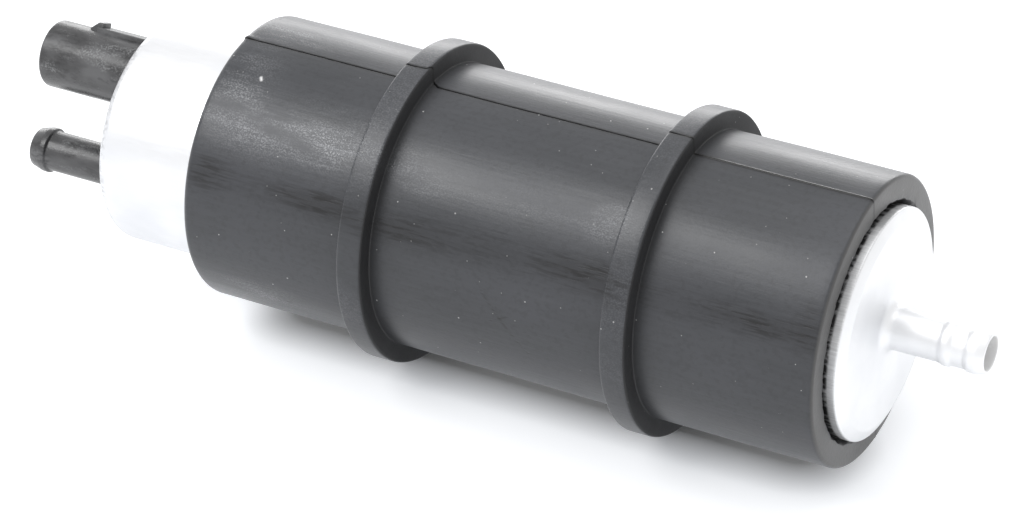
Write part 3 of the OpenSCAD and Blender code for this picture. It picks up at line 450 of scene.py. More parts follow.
FACE_X, INLET_TIP, LIP_X, DISC_X = 66.4, 85.6, -85.9, -84.6
casing_outline = np.concatenate([
    eased([[DISC_X, 18.2], [LIP_X, 18.2], [LIP_X, 19.3]], [0.35, 0.35, 0])[:-1],
    arc(LIP_X + 2.2, 19.3, 2.2, 180, 90, 10),
    eased([[0, 21.5], [FACE_X - 1.1, 21.5], [FACE_X, 19.3], [FACE_X, 12]], [0, 0.3, 0.3, 0])[1:-1],
    arc(FACE_X + 2, 5.9, 2, 180, 270, 8),
    eased([[75, 3.9], [76.8, 3.9], [77.6, 4.25], [78.6, 4.25], [79.4, 3.9], [81.7, 3.9], [82.5, 4.25],
           [84.0, 4.25], [INLET_TIP, 3.65], [INLET_TIP, 3.1], [63.4, 3.1], [63.4, 20.2], [DISC_X, 20.2]],
          [0, 0.25, 0.3, 0.3, 0.25, 0.25, 0.3, 0.4, 0.25, 0.25, 0.3, 0.8, 0])[1:]])
casing_outline = refined(casing_outline, 4)
points, faces = turned(casing_outline, 200)
swirl = np.arctan2(points[:, 2], points[:, 1])
inner_edge = np.clip(1 - np.abs(np.hypot(points[:, 1], points[:, 2]) - 18.2) / 0.3, 0, 1) \
    * (points[:, 0] < LIP_X + 0.4)
points[:, 0] += inner_edge * 0.05 * (1 + np.sin(37 * swirl) * np.sin(11 * swirl + 1))

aluminium, tree, shader = new_material("aluminium", (0.90, 0.905, 0.915), 0.3, 1.0)
strokes = grain(tree, (260, 3200, 3200), 4, 0.3, 0.7)
clouds = grain(tree, (45, 60, 60), 4, 0.35, 0.7)
along = parts_of(tree, here(tree))["X"]
back_half = maths(tree, "GREATER_THAN", along, 0.03)
band = times(tree, ranged(tree, along, start=0.0654, end=0.0652), back_half)
from_axis = vectors(tree, "LENGTH", vectors(tree, "MULTIPLY", here(tree), (0, 1, 1)))
# Inside the bore the colour is near white and not metallic: painted light, which stands in for the light that
# fills the bore.
painted_light_in_bore = maths(tree, "LESS_THAN", from_axis, 0.0033)
rolled_edge = ranged(tree, along, start=-0.0838, end=-0.0846)
notches = times(tree, rolled_edge, grain(tree, (900, 1300, 1300), 4, 0.44, 0.62))
# A dark, ragged line on the band just beyond the sleeve's edge.
by_sleeve = ranged(tree, along, start=0.0640, end=0.0636)
dark_line_by_sleeve = times(tree, times(tree, by_sleeve, back_half), grain(tree, (500, 900, 900), 4, 0.30, 0.54))
faced = blended(tree, clouds, (0.88, 0.885, 0.895), (0.80, 0.808, 0.825))
# The side of the can just beyond the sleeve: real drawing strokes, on a darker tone that is a painted
# reflection of the dark sleeve beside it.
drawn_with_painted_reflection = blended(tree, added(tree, times(tree, strokes, 0.6), clouds, 0.4),
                (0.46, 0.467, 0.475), (0.78, 0.785, 0.795))
base = layered(tree, blended(tree, clouds, (0.80, 0.806, 0.822), (0.70, 0.71, 0.735)), (back_half, faced),
               (times(tree, notches, 0.65), (0.46, 0.465, 0.475)), (painted_light_in_bore, (0.97, 0.971, 0.973)),
               (band, drawn_with_painted_reflection), (dark_line_by_sleeve, (0.06, 0.06, 0.06)))
tree.links.new(base, shader.inputs["Base Color"])
tree.links.new(ranged(tree, painted_light_in_bore, 1.0, 0.0), shader.inputs["Metallic"])
tree.links.new(ranged(tree, added(tree, clouds, strokes, 0.6), 0.32, 0.48), shader.inputs["Roughness"])
bumped(tree, shader, strokes, 0.008, 0.5)

casing = add_piece("motor_casing_skin", points, faces, aluminium)
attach(casing, "root")
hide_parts("motor_casing")


# End cover. Black glass-filled nylon, moulded in one piece with the connector's shroud, its latch rail and
# nib, the outlet nozzle and the boss of the check valve. The casing's lip is rolled over its rim.
def block(low, high):
    """The eight corners and six faces of a box between two corners."""
    low, high = np.array(low, float), np.array(high, float)
    bits = np.array([[i & 1, i >> 1 & 1, i >> 2 & 1] for i in range(8)])
    faces = np.array([[0, 2, 3, 1], [4, 5, 7, 6], [0, 1, 5, 4], [2, 6, 7, 3], [0, 4, 6, 2], [1, 3, 7, 5]])
    return low + bits * (high - low), faces


def swept(sections):
    """Closed sections of equal point counts, joined in order, with a flat cap on each end."""
    sections = np.asarray(sections, float)
    count, size = sections.shape[:2]
    points = sections.reshape(-1, 3)
    faces = grid_faces(count, size, wrap_rows=False)
    caps = [list(range(size)), list(range((count - 1) * size, count * size))]
    if outward(points, faces) is faces:
        return points, [*faces.tolist(), caps[0], caps[1][::-1]]
    return points, [*faces[:, ::-1].tolist(), caps[0][::-1], caps[1]]


def carved(piece, joined=(), cut=()):
    """Unites closed shapes with the piece and then cuts others out of it, with Boolean modifiers that are
    applied at once. The shapes are (points, faces) or helper objects, and are removed."""
    helpers = []
    for operation, shapes in (("UNION", joined), ("DIFFERENCE", cut)):
        for shape in shapes:
            helper = shape if isinstance(shape, bpy.types.Object) else add_piece("shape", *shape, None)
            modifier = piece.modifiers.new(operation, "BOOLEAN")
            modifier.operation, modifier.solver, modifier.object = operation, "EXACT", helper
            helpers.append(helper)
    shaped = bpy.data.meshes.new_from_object(piece.evaluated_get(bpy.context.evaluated_depsgraph_get()))
    piece.modifiers.clear()
    piece.data = shaped
    for helper in helpers:
        bpy.data.objects.remove(helper)
    shaped.shade_smooth()
    shaped.set_sharp_from_angle(angle=math.radians(30))
    return piece


MOUTH_X, SHROUD_R, SHROUD_Z = -107.9, 6.5, 10.5
OUTLET_TIP, OUTLET_Z, CAVITY_X, COVER_X = -113.2, -11.6, -76.1, -53.6
BLADE_Y, CHOKE_Y, CHOKE_Z = 3.2, 8.8, 2.8
cover_outline = eased(
    [[DISC_X, 0], [DISC_X, 20.1], [-81.45, 20.1], [-81.45, 18.36], [-79.25, 18.36], [-79.25, 20.1],
     [COVER_X, 20.1], [COVER_X, 18.4], [CAVITY_X, 18.4], [CAVITY_X, 0]],
    [0, 0.3, 0.15, 0.15, 0.15, 0.15, 0.3, 0.3, 0.5, 0])

# Round shroud, rounded over at the mouth, with a small fillet where it meets the disc.
shroud_outline = np.concatenate([
    [[MOUTH_X, 0]], arc(MOUTH_X + 0.7, SHROUD_R - 0.7, 0.7, 180, 90, 8),
    arc(DISC_X - 0.35, SHROUD_R + 0.35, 0.35, 270, 360, 5),
    [[DISC_X + 1, SHROUD_R + 0.35], [DISC_X + 1, 0]]])
nozzle_outline = np.concatenate([
    eased([[OUTLET_TIP, 0], [OUTLET_TIP, 3.75], [-110.8, 4.4], [-109.7, 4.4], [-109.4, 3.9], [-100, 3.9]],
          [0, 0.35, 0.3, 0.15, 0.15, 0])[:-1],
    arc(DISC_X - 0.6, 4.5, 0.6, 270, 360, 5), [[DISC_X + 1, 4.5], [DISC_X + 1, 0]]])
boss_outline = eased([[-79.1, 0], [-79.1, 5.8], [-60.1, 5.8], [-60.1, 0]], [0, 0, 0.3, 0])
socket_outline = np.concatenate([
    [[MOUTH_X - 1, 0], [MOUTH_X - 1, 5.7]],
    eased([[MOUTH_X, 5.5], [MOUTH_X + 0.3, 5.3], [MOUTH_X + 15, 5.3], [MOUTH_X + 15, 0]], [0, 0.2, 0.4, 0])])
bore_outline = np.concatenate([
    [[OUTLET_TIP - 1, 0], [OUTLET_TIP - 1, 3.3]],
    eased([[OUTLET_TIP, 3.15], [OUTLET_TIP + 0.4, 2.9], [-79.1, 2.9], [-79.1, 4.3], [-59, 4.3], [-59, 0]],
          [0, 0.3, 0, 0.3, 0, 0])])
pocket_outline = [[-78.1, 0], [-78.1, 2.22], [-75, 2.22], [-75, 0]]
ejector_outline = [[DISC_X - 1, 0], [DISC_X - 1, 1.5], [DISC_X + 0.15, 1.5], [DISC_X + 0.15, 0]]
ejector_marks = [(12.5, -4.5), (-12.5, -4.5), (13.0, 6.0), (-13.0, 6.0)]
gate_outline = eased([[DISC_X - 0.25, 0], [DISC_X - 0.25, 0.8], [DISC_X + 0.5, 0.8], [DISC_X + 0.5, 0]],
                     [0, 0.15, 0, 0])
slot_cuts = [block([MOUTH_X + 14, s * BLADE_Y - 0.42, SHROUD_Z - 1.42],
                   [CAVITY_X + 1, s * BLADE_Y + 0.42, SHROUD_Z + 1.42]) for s in (-1, 1)]


def on_latch(points):
    """Points (x from the mouth, y, height from the shroud's axis) turned 25 degrees about that axis to +Y."""
    points = np.array(points, float)
    c, s = math.cos(math.radians(25)), math.sin(math.radians(25))
    return np.column_stack([MOUTH_X + points[:, 0], points[:, 1] * c + points[:, 2] * s,
                            SHROUD_Z - points[:, 1] * s + points[:, 2] * c])


nib_side = np.array([[0, 5.5], [0, 6.5], [1.7, 8.0], [2.8, 8.0], [2.8, 5.5]])
nib = swept([on_latch(np.column_stack([7.2 + nib_side[:, 0], np.full(5, y), nib_side[:, 1]]))
             for y in (-1.5, 1.5)])
rail_end = DISC_X + 1 - MOUTH_X
rail = swept([on_latch([[x, -2, 5.5], [x, 2, 5.5], [x, 2, 7.1], [x, -2, 7.1]]) for x in (8.9, rail_end)])

black_nylon, tree, shader = new_material("black_nylon", (0.03, 0.03, 0.031), 0.3)
shader.inputs["IOR"].default_value = 1.53
swirls = grain(tree, (130, 300, 300), 6, 0.38, 0.66)
fibres = grain(tree, (1500, 3000, 3000), 3, 0.25, 0.75)
flecks = times(tree, grain(tree, (90, 260, 260), 3, 0.50, 0.64),
               grain(tree, (2600, 3100, 3100), 1, 0.46, 0.64))
weld_lines = times(tree, grain(tree, (120, 330, 330), 3, 0.50, 0.62),
                   grain(tree, (800, 1500, 1500), 3, 0.46, 0.60))
along = parts_of(tree, here(tree))["X"]
# Painted shadow of the casing's lip on the connector and the outlet nozzle, darkest just in front of the lip.
painted_lip_shadow = times(tree, ranged(tree, along, 0.0, 0.8, -0.0895, -0.0862),
               ranged(tree, along, start=-0.0849, end=-0.0857))
base = layered(tree, blended(tree, swirls, (0.038, 0.038, 0.040), (0.104, 0.105, 0.109)),
               (times(tree, flecks, 0.75), (0.24, 0.245, 0.25)),
               (times(tree, weld_lines, 0.6), (0.008, 0.008, 0.009)),
               (dust(tree, 420, 0.07, 0.10), (0.34, 0.34, 0.33)), (painted_lip_shadow, (0.010, 0.010, 0.011)))
tree.links.new(base, shader.inputs["Base Color"])
tree.links.new(ranged(tree, swirls, 0.24, 0.38), shader.inputs["Roughness"])
bumped(tree, shader, added(tree, swirls, fibres, 0.45), 0.045, 0.7)

latch = [add_piece("latch", *shape, None) for shape in (nib, rail)]
for shape in latch:
    edges = shape.modifiers.new("edges", "BEVEL")
    edges.width, edges.segments = 0.0002, 3
cover = add_piece("end_cover_skin", *turned(cover_outline, 120, on_axis=True), black_nylon)
carved(cover,
       joined=[turned(shroud_outline, 96, (0, SHROUD_Z), True), *latch,
               turned(gate_outline, 24, (0, -1.8), True), turned(nozzle_outline, 72, (0, OUTLET_Z), True),
               turned(boss_outline, 72, (0, OUTLET_Z), True)],
       cut=[turned(socket_outline, 72, (0, SHROUD_Z), True), turned(bore_outline, 72, (0, OUTLET_Z), True),
            *slot_cuts, *[turned(pocket_outline, 40, (s * CHOKE_Y, CHOKE_Z), True) for s in (-1, 1)],
            *[turned(ejector_outline, 40, spot, True) for spot in ejector_marks]])
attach(cover, "root")
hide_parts("end_cover")


# Sealing ring of the cover. Nitrile rubber, moulded as an O-ring, which sits in the cover's groove and is
# pressed flat by a tenth against the inside of the casing. The pump stage carries a second one like it.
def finish(name, parts, dark, light, stretch, rough, depth, metallic=0.0, marks=None):
    """A material from two colours and two roughnesses mixed by a stretched grain, with a finer grain over it,
    put on these CAD parts, which keep the shape that they are packed with. Marks is a function that builds
    another pattern in the tree, which darkens the surface and sinks into it."""
    material, tree, shader = new_material(name, light, rough[0], metallic)
    stretch = tuple(np.broadcast_to(stretch, 3).tolist())
    cloud = grain(tree, stretch, 5, 0.35, 0.66)
    fine = grain(tree, tuple(7 * v for v in stretch), 2, 0.3, 0.7)
    colour = blended(tree, added(tree, cloud, fine, 0.25), dark, light)
    relief = added(tree, cloud, fine, 0.5)
    if marks:
        lines = marks(tree)
        colour = blended(tree, lines, colour, tuple(0.45 * v for v in dark))
        relief = added(tree, relief, lines, -1.5)
    tree.links.new(colour, shader.inputs["Base Color"])
    tree.links.new(ranged(tree, added(tree, cloud, fine, 0.4), *rough), shader.inputs["Roughness"])
    bumped(tree, shader, relief, depth, 0.6)
    for part in parts:
        mesh = nodes[part].data
        mesh.materials.clear()
        mesh.materials.append(material)
    return material


finish("seal_rubber", ["cover_seal", "stage_seal"], (0.012, 0.012, 0.013), (0.030, 0.030, 0.031),
       320, (0.36, 0.52), 0.01)


# Contact blades. Brass strip, tinned, blanked with a tapered tip and moulded through the floor of the socket.
# Inside the cover each is bent flat against the floor and reaches to its choke.
tinned_brass = finish("tinned_brass", [], (0.66, 0.58, 0.42), (0.82, 0.80, 0.73), (120, 900, 900),
                      (0.22, 0.40), 0.006, 1.0)
blade_tip, strip_foot, strip_top = MOUTH_X + 4, CAVITY_X + 0.03, CAVITY_X + 0.8
reach = np.array([CHOKE_Y - BLADE_Y, CHOKE_Z - SHROUD_Z])
strip_length = np.hypot(*reach) - 2.4
strip_way = reach / np.hypot(*reach)
strip_aside = np.array([-strip_way[1], strip_way[0]])
for side, pole in ((1, "positive"), (-1, "negative")):
    blade_sections = []
    for px, h, w in ((blade_tip, 0.16, 0.95), (blade_tip + 0.9, 0.4, 1.4), (strip_top, 0.4, 1.4)):
        corners = ((-h, -w), (h, -w), (h, w), (-h, w))
        blade_sections.append([[px, side * (BLADE_Y + across), SHROUD_Z + up] for across, up in corners])
    strip_sections = []
    for length in (0, strip_length):
        middle = np.array([BLADE_Y, SHROUD_Z]) + length * strip_way
        low, high = middle - 1.4 * strip_aside, middle + 1.4 * strip_aside
        corners = ((strip_foot, low), (strip_top, low), (strip_top, high), (strip_foot, high))
        strip_sections.append([[px, side * place[0], place[1]] for px, place in corners])
    blade, strip = (add_piece(f"terminal_{pole}_blade", *swept(shape), tinned_brass)
                    for shape in (blade_sections, strip_sections))
    for shape in (blade, strip):
        edges = shape.modifiers.new("edges", "BEVEL")
        edges.width, edges.segments = 0.00012, 2
    carved(blade, joined=[strip])
    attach(blade, "root")
    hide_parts(f"terminal_{pole}")


# Suppression chokes. A ferrite rod in a pocket of the cover, wound with one layer of enamelled copper wire
# from the blade's strip to the brush's lead. The rods are pressed and sintered, and dull.
def tube(path, radius, aside, sides=12):
    """A round wire along a path, with flat ends. Each ring lies in the plane of b = t x aside and n = b x t,
    with t along the path and aside any direction that isn't along it."""
    path = np.asarray(path, float)
    t = np.gradient(path, axis=0)
    b = np.cross(t, aside)
    n = np.cross(b, t)
    b /= np.linalg.norm(b, axis=1, keepdims=True)
    n /= np.linalg.norm(n, axis=1, keepdims=True)
    a = np.linspace(0, 2 * np.pi, sides, endpoint=False)[None, :, None]
    radius = np.broadcast_to(radius, (len(path), sides))[..., None]
    return swept(path[:, None] + radius * (np.cos(a) * n[:, None] + np.sin(a) * b[:, None]))


def together(shapes):
    """Several (points, faces) as one, with each shape's faces counted on from the points before it."""
    counts = np.cumsum([0] + [len(points) for points, _ in shapes[:-1]])
    faces = [[int(v) + int(first) for v in face] for first, (_, part) in zip(counts, shapes) for face in part]
    return np.concatenate([points for points, _ in shapes]), faces


def mirrored(shape):
    """The shape on the other side of the XZ plane, with its faces turned back outwards."""
    points, faces = shape
    return points * [1, -1, 1], [list(face)[::-1] for face in faces]


finish("ferrite", ["choke_cores"], (0.014, 0.014, 0.016), (0.045, 0.045, 0.048), 700,
       (0.55, 0.75), 0.02)
enamelled_copper = finish("enamelled_copper", [], (0.42, 0.13, 0.045), (0.72, 0.30, 0.12), 260,
                          (0.16, 0.30), 0.004, 0.9)
CHOKE_TURNS, CHOKE_WIRE = 12, 0.4
start_turn = math.atan2(SHROUD_Z - CHOKE_Z, BLADE_Y - CHOKE_Y)
a = np.linspace(start_turn, 2 * np.pi * CHOKE_TURNS - np.pi / 2, 24 * CHOKE_TURNS)
wound = np.column_stack([np.linspace(-74.88, -62.8, len(a)), 2.8 * np.cos(a), 2.8 * np.sin(a)])
tail = np.column_stack([np.linspace(-62.2, -53.62, 10), np.zeros(10), np.full(10, -2.8)])
choke_path = np.concatenate([wound, tail]) + [0, CHOKE_Y, CHOKE_Z]
choke_coil = tube(choke_path, CHOKE_WIRE, (choke_path - [0, CHOKE_Y, CHOKE_Z]) * [0, 1, 1])
chokes = add_piece("choke_coils", *together([choke_coil, mirrored(choke_coil)]), enamelled_copper, 60)
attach(chokes, "root")
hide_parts("choke_windings")


# Check valve of the outlet. A polished steel ball on a moulded seat that is pressed into the boss, closed by
# a tapered spring of drawn wire. Fuel lifts the ball towards the nozzle.
def spring_wire(x0, x1, r0, r1, turns, centre, wire=0.3):
    """A helix about an axis along X whose radius goes from r0 to r1, with its first and last turns closed: x
    rises by a wire's width over each of these and evenly over the others."""
    travel = x1 - x0 - 2 * wire
    closed = min(2.07 * wire, travel / turns)
    turn = np.linspace(0, turns, 28 * turns + 1)
    along = np.interp(turn, [0, 1, turns - 1, turns], [0, closed, travel - closed, travel])
    spread = r0 + (r1 - r0) * along / travel
    around_axis = np.column_stack([np.zeros_like(turn), spread * np.cos(2 * np.pi * turn),
                                   spread * np.sin(2 * np.pi * turn)])
    return tube(around_axis + np.column_stack([x0 + wire + along, np.full_like(turn, centre[0]),
                                               np.full_like(turn, centre[1])]), wire, around_axis, 10)


def sprung(name, node, shape, material):
    """A piece that stands for a spring's node, on the root body, with a mesh of its own."""
    piece = add_piece(name, *shape, material, 60)
    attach(piece, "root")
    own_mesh(piece)
    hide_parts(node)


finish("natural_plastic", ["check_valve_seat"], (0.40, 0.37, 0.28), (0.56, 0.53, 0.43), 90,
       (0.30, 0.48), 0.01)
finish("ball_steel", ["check_valve_ball", "relief_ball"], (0.66, 0.67, 0.68), (0.80, 0.81, 0.82),
       260, (0.05, 0.12), 0.001, 1.0)
spring_steel = finish("spring_steel", [], (0.30, 0.31, 0.32), (0.50, 0.51, 0.52), 420,
                      (0.24, 0.40), 0.004, 1.0)
sprung("check_valve_coil", "check_valve_spring", spring_wire(-79.04, -68.9, 3.9, 2.2, 6, (0, OUTLET_Z)),
       spring_steel)


# Brush gear. A moulded carrier whose rim passes on the clamping force, with a guide on each side for a
# pressed carbon brush. Each has a spring behind it and a lead of stranded copper in its back.
finish("carrier_plastic", ["brush_carrier"], (0.030, 0.045, 0.034), (0.060, 0.085, 0.066), (150, 220, 220),
       (0.34, 0.52), 0.02)
finish("carbon", ["brush_positive", "brush_negative"], (0.018, 0.017, 0.017), (0.060, 0.057, 0.054),
       1100, (0.40, 0.62), 0.02)
stranded_copper = finish("stranded_copper", [], (0.48, 0.20, 0.09), (0.80, 0.44, 0.24), 900,
                         (0.28, 0.44), 0.006, 1.0)


def stranded_lead(side):
    """A rope of seven strands: a wire whose radius dips in seven grooves that turn once in 4 mm, r = 0.47 mm
    less 0.11 mm times (1 - |cos 3.5 (angle - turn)|), on a path that waves slightly inside the spring and
    runs straight in the brush."""
    px = np.linspace(-53.6, -37.67, 150)
    slack = 0.16 * np.sin(np.pi * np.clip((px + 53.6) / 12.8, 0, 1)) * np.sin(2 * np.pi * (px + 53.6) / 6.4)
    path = np.column_stack([px, np.full_like(px, side * CHOKE_Y), slack])
    spin = np.linspace(0, 2 * np.pi, 56, endpoint=False)[None, :] - 2 * np.pi * px[:, None] / 4.0
    radius = 0.47 - 0.11 * (1 - np.abs(np.cos(3.5 * spin)))
    return tube(path, radius, (0, 0, 1), 56)


for side, pole in ((1, "positive"), (-1, "negative")):
    coil = spring_wire(-50.64, -39.71, 1.9, 1.9, 9, (side * CHOKE_Y, 0))
    sprung(f"brush_{pole}_coil", f"brush_spring_{pole}", coil,
           spring_steel)
    sprung(f"brush_{pole}_rope", f"brush_lead_{pole}", stranded_lead(side),
           stranded_copper)


# Bearings. Two bushes of sintered bronze soaked in oil, the front one pressed into the carrier and the rear
# one into the outlet plate, and sized after pressing, which leaves fine rings in the bore.
def turning_group():
    """Fine rings about the X axis: noise read at the distance from the axis and the place along it."""
    group, given, result = new_group("turning", Pitch=2600)
    radius = vectors(group, "LENGTH", vectors(group, "MULTIPLY", here(group), (0, 1, 1)))
    point = joined_of(group, radius, parts_of(group, here(group))["X"])
    noise = node_in(group, "ShaderNodeTexNoise", {"Vector": point, "Scale": given["Pitch"], "Detail": 2.0})
    group.links.new(ranged(group, noise.outputs[0], 0.0, 0.5, 0.52, 0.7), result)
    return group


TURNING = turning_group()


def turning(tree):
    """The turning group placed in a material."""
    return placed(tree, TURNING)


finish("bush_bronze", ["front_bearing", "rear_bearing"], (0.36, 0.24, 0.11), (0.60, 0.43, 0.23),
       1300, (0.34, 0.52), 0.012, 1.0, turning)


# Stator. A ring cut from steel tube and zinc plated, which carries the field and holds the whole stack to
# length, with two sintered ferrite magnets that spring clips of steel strip press against its bore.
finish("flux_steel", ["flux_ring"], (0.34, 0.35, 0.37), (0.56, 0.57, 0.60), (160, 520, 520),
       (0.30, 0.48), 0.01, 1.0)
finish("magnet_ferrite", ["magnet_north", "magnet_south"], (0.020, 0.021, 0.024), (0.060, 0.062, 0.070),
       500, (0.42, 0.66), 0.02)
finish("clip_steel", ["magnet_clips"], (0.46, 0.47, 0.49), (0.68, 0.69, 0.71), (150, 1400, 1400),
       (0.20, 0.36), 0.006, 1.0)


# Armature. A ground shaft with two flats for the rotor, and a core of stacked steel sheets pressed on it
# between moulded end insulators. Ten coils of enamelled wire lie in the slots and cross over the ends.
def sheets_group():
    """Dark lines across the X axis, where one sheet of a stack meets the next: the fraction of x times the
    sheets in a metre is near 1 there."""
    group, given, result = new_group("sheets", Sheets=2000)
    count = times(group, parts_of(group, here(group))["X"], given["Sheets"])
    group.links.new(ranged(group, maths(group, "FRACT", count), 0.0, 0.85, 0.78, 0.9), result)
    return group


SHEETS = sheets_group()
finish("core_steel", ["armature_core"], (0.26, 0.27, 0.29), (0.44, 0.45, 0.47), (300, 500, 500),
       (0.34, 0.50), 0.02, 1.0, lambda tree: placed(tree, SHEETS))
finish("shaft_steel", ["armature_shaft", "thrust_pad"], (0.56, 0.57, 0.58), (0.76, 0.77, 0.78), (900, 60, 60),
       (0.14, 0.26), 0.003, 1.0, turning)
finish("insulator_green", ["end_insulators"], (0.055, 0.110, 0.045), (0.095, 0.180, 0.075), 200,
       (0.36, 0.54), 0.02)

SLOTS, SLOT_R, COIL_SPAN = 10, 10.1, 4
TURNS_LOW_R, TURNS_HIGH_R, TURNS_LENGTH, TURNS_ROUND = 8.0, 12.4, 6.0, 1.8


def slot_bundle(angle):
    """The wires in one slot: a rod whose section has fourteen round strands on its edge, r = 1.8 mm less
    0.2 mm times (1 - |cos 7 a|), from one insulator to the other."""
    middle = np.array([SLOT_R * math.cos(angle), SLOT_R * math.sin(angle)])
    path = np.column_stack([np.linspace(-12.9, 27.7, 40), np.full(40, middle[0]), np.full(40, middle[1])])
    a = np.linspace(0, 2 * np.pi, 84, endpoint=False)
    return tube(path, 1.8 - 0.2 * (1 - np.abs(np.cos(7 * a))), (0, 0, 1), 84)


def end_section(share, inset):
    """Points (height, radius) at shares 0..1 along the end turns' outline, from the foot of the outer wall
    over the rounded end to the foot of the inner one, set in from it."""
    low, high, top = TURNS_LOW_R + inset, TURNS_HIGH_R - inset, TURNS_LENGTH - inset
    edge = TURNS_ROUND - inset
    line = np.concatenate([[[0, high]], arc(top - edge, high - edge, edge, 90, 0, 8),
                           arc(top - edge, low + edge, edge, 0, -90, 8), [[0, low]]])
    step = np.concatenate([[0], np.cumsum(np.hypot(*np.diff(line, axis=0).T))])
    place = np.asarray(share) * step[-1]
    return np.interp(place, step, line[:, 0]), np.interp(place, step, line[:, 1])


def end_turn(first, span, crest, inset, face_x, way):
    """One wire of a coil on the armature's end. Its angle goes from slot to slot with s = 3f^2 - 2f^3, and
    its place on the outline rises to the crest and falls again with sin(pi f)^0.7."""
    f = np.linspace(0, 1, 44)
    height, radius = end_section(crest * np.sin(np.pi * f) ** 0.7, inset)
    angle = first + span * (3 * f ** 2 - 2 * f ** 3)
    path = np.column_stack([face_x + way * height, radius * np.cos(angle), radius * np.sin(angle)])
    return tube(path, 0.3, np.column_stack([0 * f, np.cos(angle), np.sin(angle)]) + [0.4 * way, 0, 0], 7)


slot_angles = 2 * np.pi * np.arange(SLOTS) / SLOTS
wound_shapes = [slot_bundle(angle) for angle in slot_angles]
height, radius = end_section(np.linspace(0, 1, 40), 0.55)
for face_x, way in ((27.4, 1), (-12.6, -1)):
    wound_shapes.append(turned(np.column_stack([face_x + way * height, radius]), 90))
    for k, slot_angle in enumerate(slot_angles):
        for n, crest in enumerate(np.linspace(0.16, 0.82, 9)):
            wound_shapes.append(end_turn(slot_angle + 0.028 * (n - 4), 2 * np.pi * COIL_SPAN / SLOTS, crest,
                                         0.32 + 0.1 * (k % 2), face_x, way))
windings = add_piece("armature_coils", *together(wound_shapes), enamelled_copper, 60)
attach(windings, "rotor")
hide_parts("armature_windings")


# Commutator. Ten carbon segments on stamped copper plates, moulded into a phenolic hub and faced flat on the
# lathe, which leaves rings where the brushes run. Plastic thrust washers keep the rotor off both bearings.
finish("segment_carbon", ["commutator_segments"], (0.020, 0.020, 0.021), (0.055, 0.055, 0.056),
       900, (0.26, 0.44), 0.01, 0.0, turning)
finish("plate_copper", ["commutator_plates"], (0.52, 0.25, 0.12), (0.80, 0.45, 0.25), 500,
       (0.24, 0.40), 0.006, 1.0)
finish("hub_phenolic", ["commutator_hub"], (0.045, 0.022, 0.012), (0.100, 0.050, 0.028), 400,
       (0.34, 0.52), 0.02)
finish("washer_plastic", ["thrust_washers"], (0.60, 0.55, 0.42), (0.76, 0.71, 0.58), 300,
       (0.34, 0.50), 0.01)


# Pump stage. A gerotor pair of sintered and ground steel in a ring of its own thickness, between two machined
# aluminium plates. Three zinc-plated screws with hexagon sockets hold the stage together.
finish("stage_aluminium", ["outlet_plate", "inlet_plate"], (0.46, 0.47, 0.49), (0.66, 0.67, 0.69),
       260, (0.26, 0.42), 0.008, 1.0, turning)
finish("stage_steel", ["pump_ring"], (0.24, 0.24, 0.24), (0.40, 0.40, 0.39), 1500,
       (0.30, 0.48), 0.012, 1.0)
finish("rotor_steel", ["outer_rotor", "inner_rotor"], (0.30, 0.28, 0.25), (0.48, 0.46, 0.42),
       1800, (0.22, 0.40), 0.010, 1.0)
finish("screw_zinc", ["stage_screws"], (0.52, 0.54, 0.56), (0.72, 0.74, 0.75), 500,
       (0.22, 0.36), 0.006, 1.0)


# Relief valve. A steel ball on the edge of a hole through the inlet plate, held by a short spring in a turned
# brass cap that is pressed in. It opens towards the inlet when the outlet is blocked.
finish("turned_brass", ["relief_retainer"], (0.48, 0.34, 0.15), (0.70, 0.54, 0.29), (600, 300, 300),
       (0.20, 0.34), 0.006, 1.0)
sprung("relief_coil", "relief_spring", spring_wire(55.72, 59.34, 1.2, 1.2, 5, (0, -14.2)),
       spring_steel)


# Inlet strainer. A perforated floor and its rim in one acetal moulding, clamped between the casing's closed
# end and the inlet plate, so that nothing coarse from the tank reaches the rotors.
finish("acetal", ["inlet_strainer"], (0.62, 0.63, 0.64), (0.76, 0.77, 0.78), 160,
       (0.28, 0.44), 0.01)


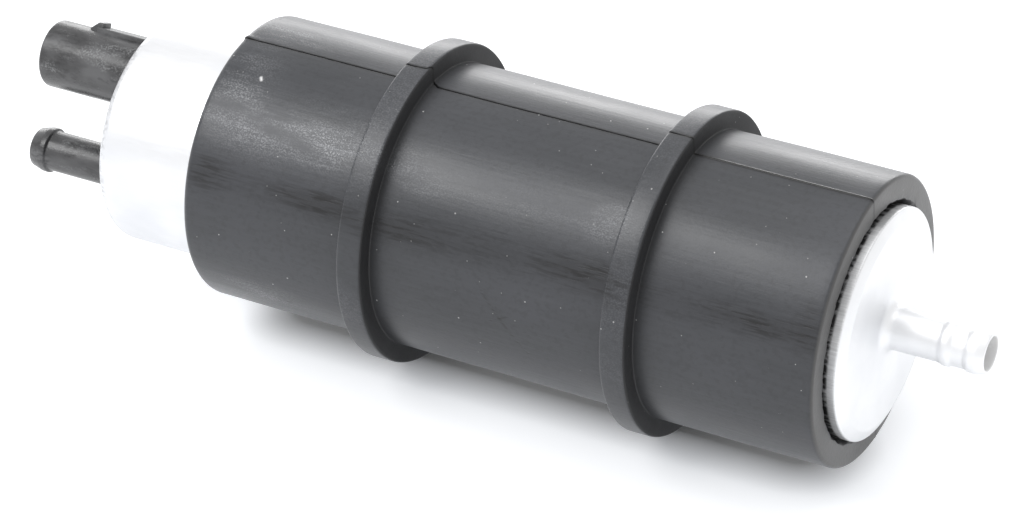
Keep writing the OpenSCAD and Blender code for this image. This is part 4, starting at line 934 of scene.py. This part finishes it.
# Studio. A plain pale floor under the ribs, a white surround, and soft lamps.
paper, tree, shader = new_material("floor_paper", (0.9, 0.9, 0.9), 1.0)
shader.inputs["Specular IOR Level"].default_value = 0
floor_corners = [(4000 * x, 4000 * y, -RIB_R) for x, y in ((-1, -1), (1, -1), (1, 1), (-1, 1))]
floor = add_piece("floor", floor_corners, [(0, 1, 2, 3)], paper)
rays = node_in(tree, "ShaderNodeLightPath").outputs
reflected = maths(tree, "MAXIMUM", rays["Is Glossy Ray"], rays["Is Transmission Ray"])
# The camera sees the floor lifted to white, except for a painted shadow: the added light fades out close to
# the line that the sleeve lies on.
away = vectors(tree, "SUBTRACT", vectors(tree, "ABSOLUTE", here(tree)), (0.050, 0, 1))
away = vectors(tree, "LENGTH", vectors(tree, "MAXIMUM", away, (0, 0, 0)))
white_lift_with_painted_shadow = times(tree, maths(tree, "POWER", ranged(tree, away, start=0.0055, end=0.016), 0.8), 0.46)
glow = added(tree, times(tree, rays["Is Camera Ray"], white_lift_with_painted_shadow), reflected, 0.40)
shader.inputs["Emission Color"].default_value = (0.92, 0.95, 1.0, 1)
tree.links.new(glow, shader.inputs["Emission Strength"])

world = bpy.data.worlds.new("surround")
bpy.context.scene.world = world
world.use_nodes = True
tree = world.node_tree
background = tree.nodes["Background"]
background.inputs["Color"].default_value = (1, 1, 1, 1)
rays = node_in(tree, "ShaderNodeLightPath").outputs
seen = maths(tree, "MAXIMUM", rays["Is Camera Ray"], rays["Is Glossy Ray"])
seen = maths(tree, "MAXIMUM", seen, rays["Is Transmission Ray"])
tree.links.new(ranged(tree, seen, 0.62, 1.0), background.inputs["Strength"])


def softbox(name, direction, distance, size, radiance):
    """A flat area lamp, wide by tall, that looks at the pump. Its power is pi times area times radiance."""
    data = bpy.data.lights.new(name, "AREA")
    data.shape, data.size, data.size_y = "RECTANGLE", *size
    data.energy = math.pi * size[0] * size[1] * radiance
    lamp = bpy.data.objects.new(name, data)
    way = np.array(direction, float) / np.linalg.norm(direction)
    lamp.location = way * distance
    level_way = math.hypot(way[0], way[1])
    lamp.rotation_euler = (math.atan2(level_way, way[2]), 0, math.atan2(way[0], -way[1]))
    lamp.visible_camera = False
    bpy.context.scene.collection.objects.link(lamp)


softbox("key", (-0.44, -0.50, 0.76), 1.1, (0.56, 0.56), 5.2)
softbox("back", (-0.39, 0.9, 0.20), 1.6, (1.8, 0.46), 4.2)
softbox("top", (0, 0.1, 1), 1.5, (1.0, 1.0), 1.4)

bpy.context.scene.view_settings.view_transform = "Standard"
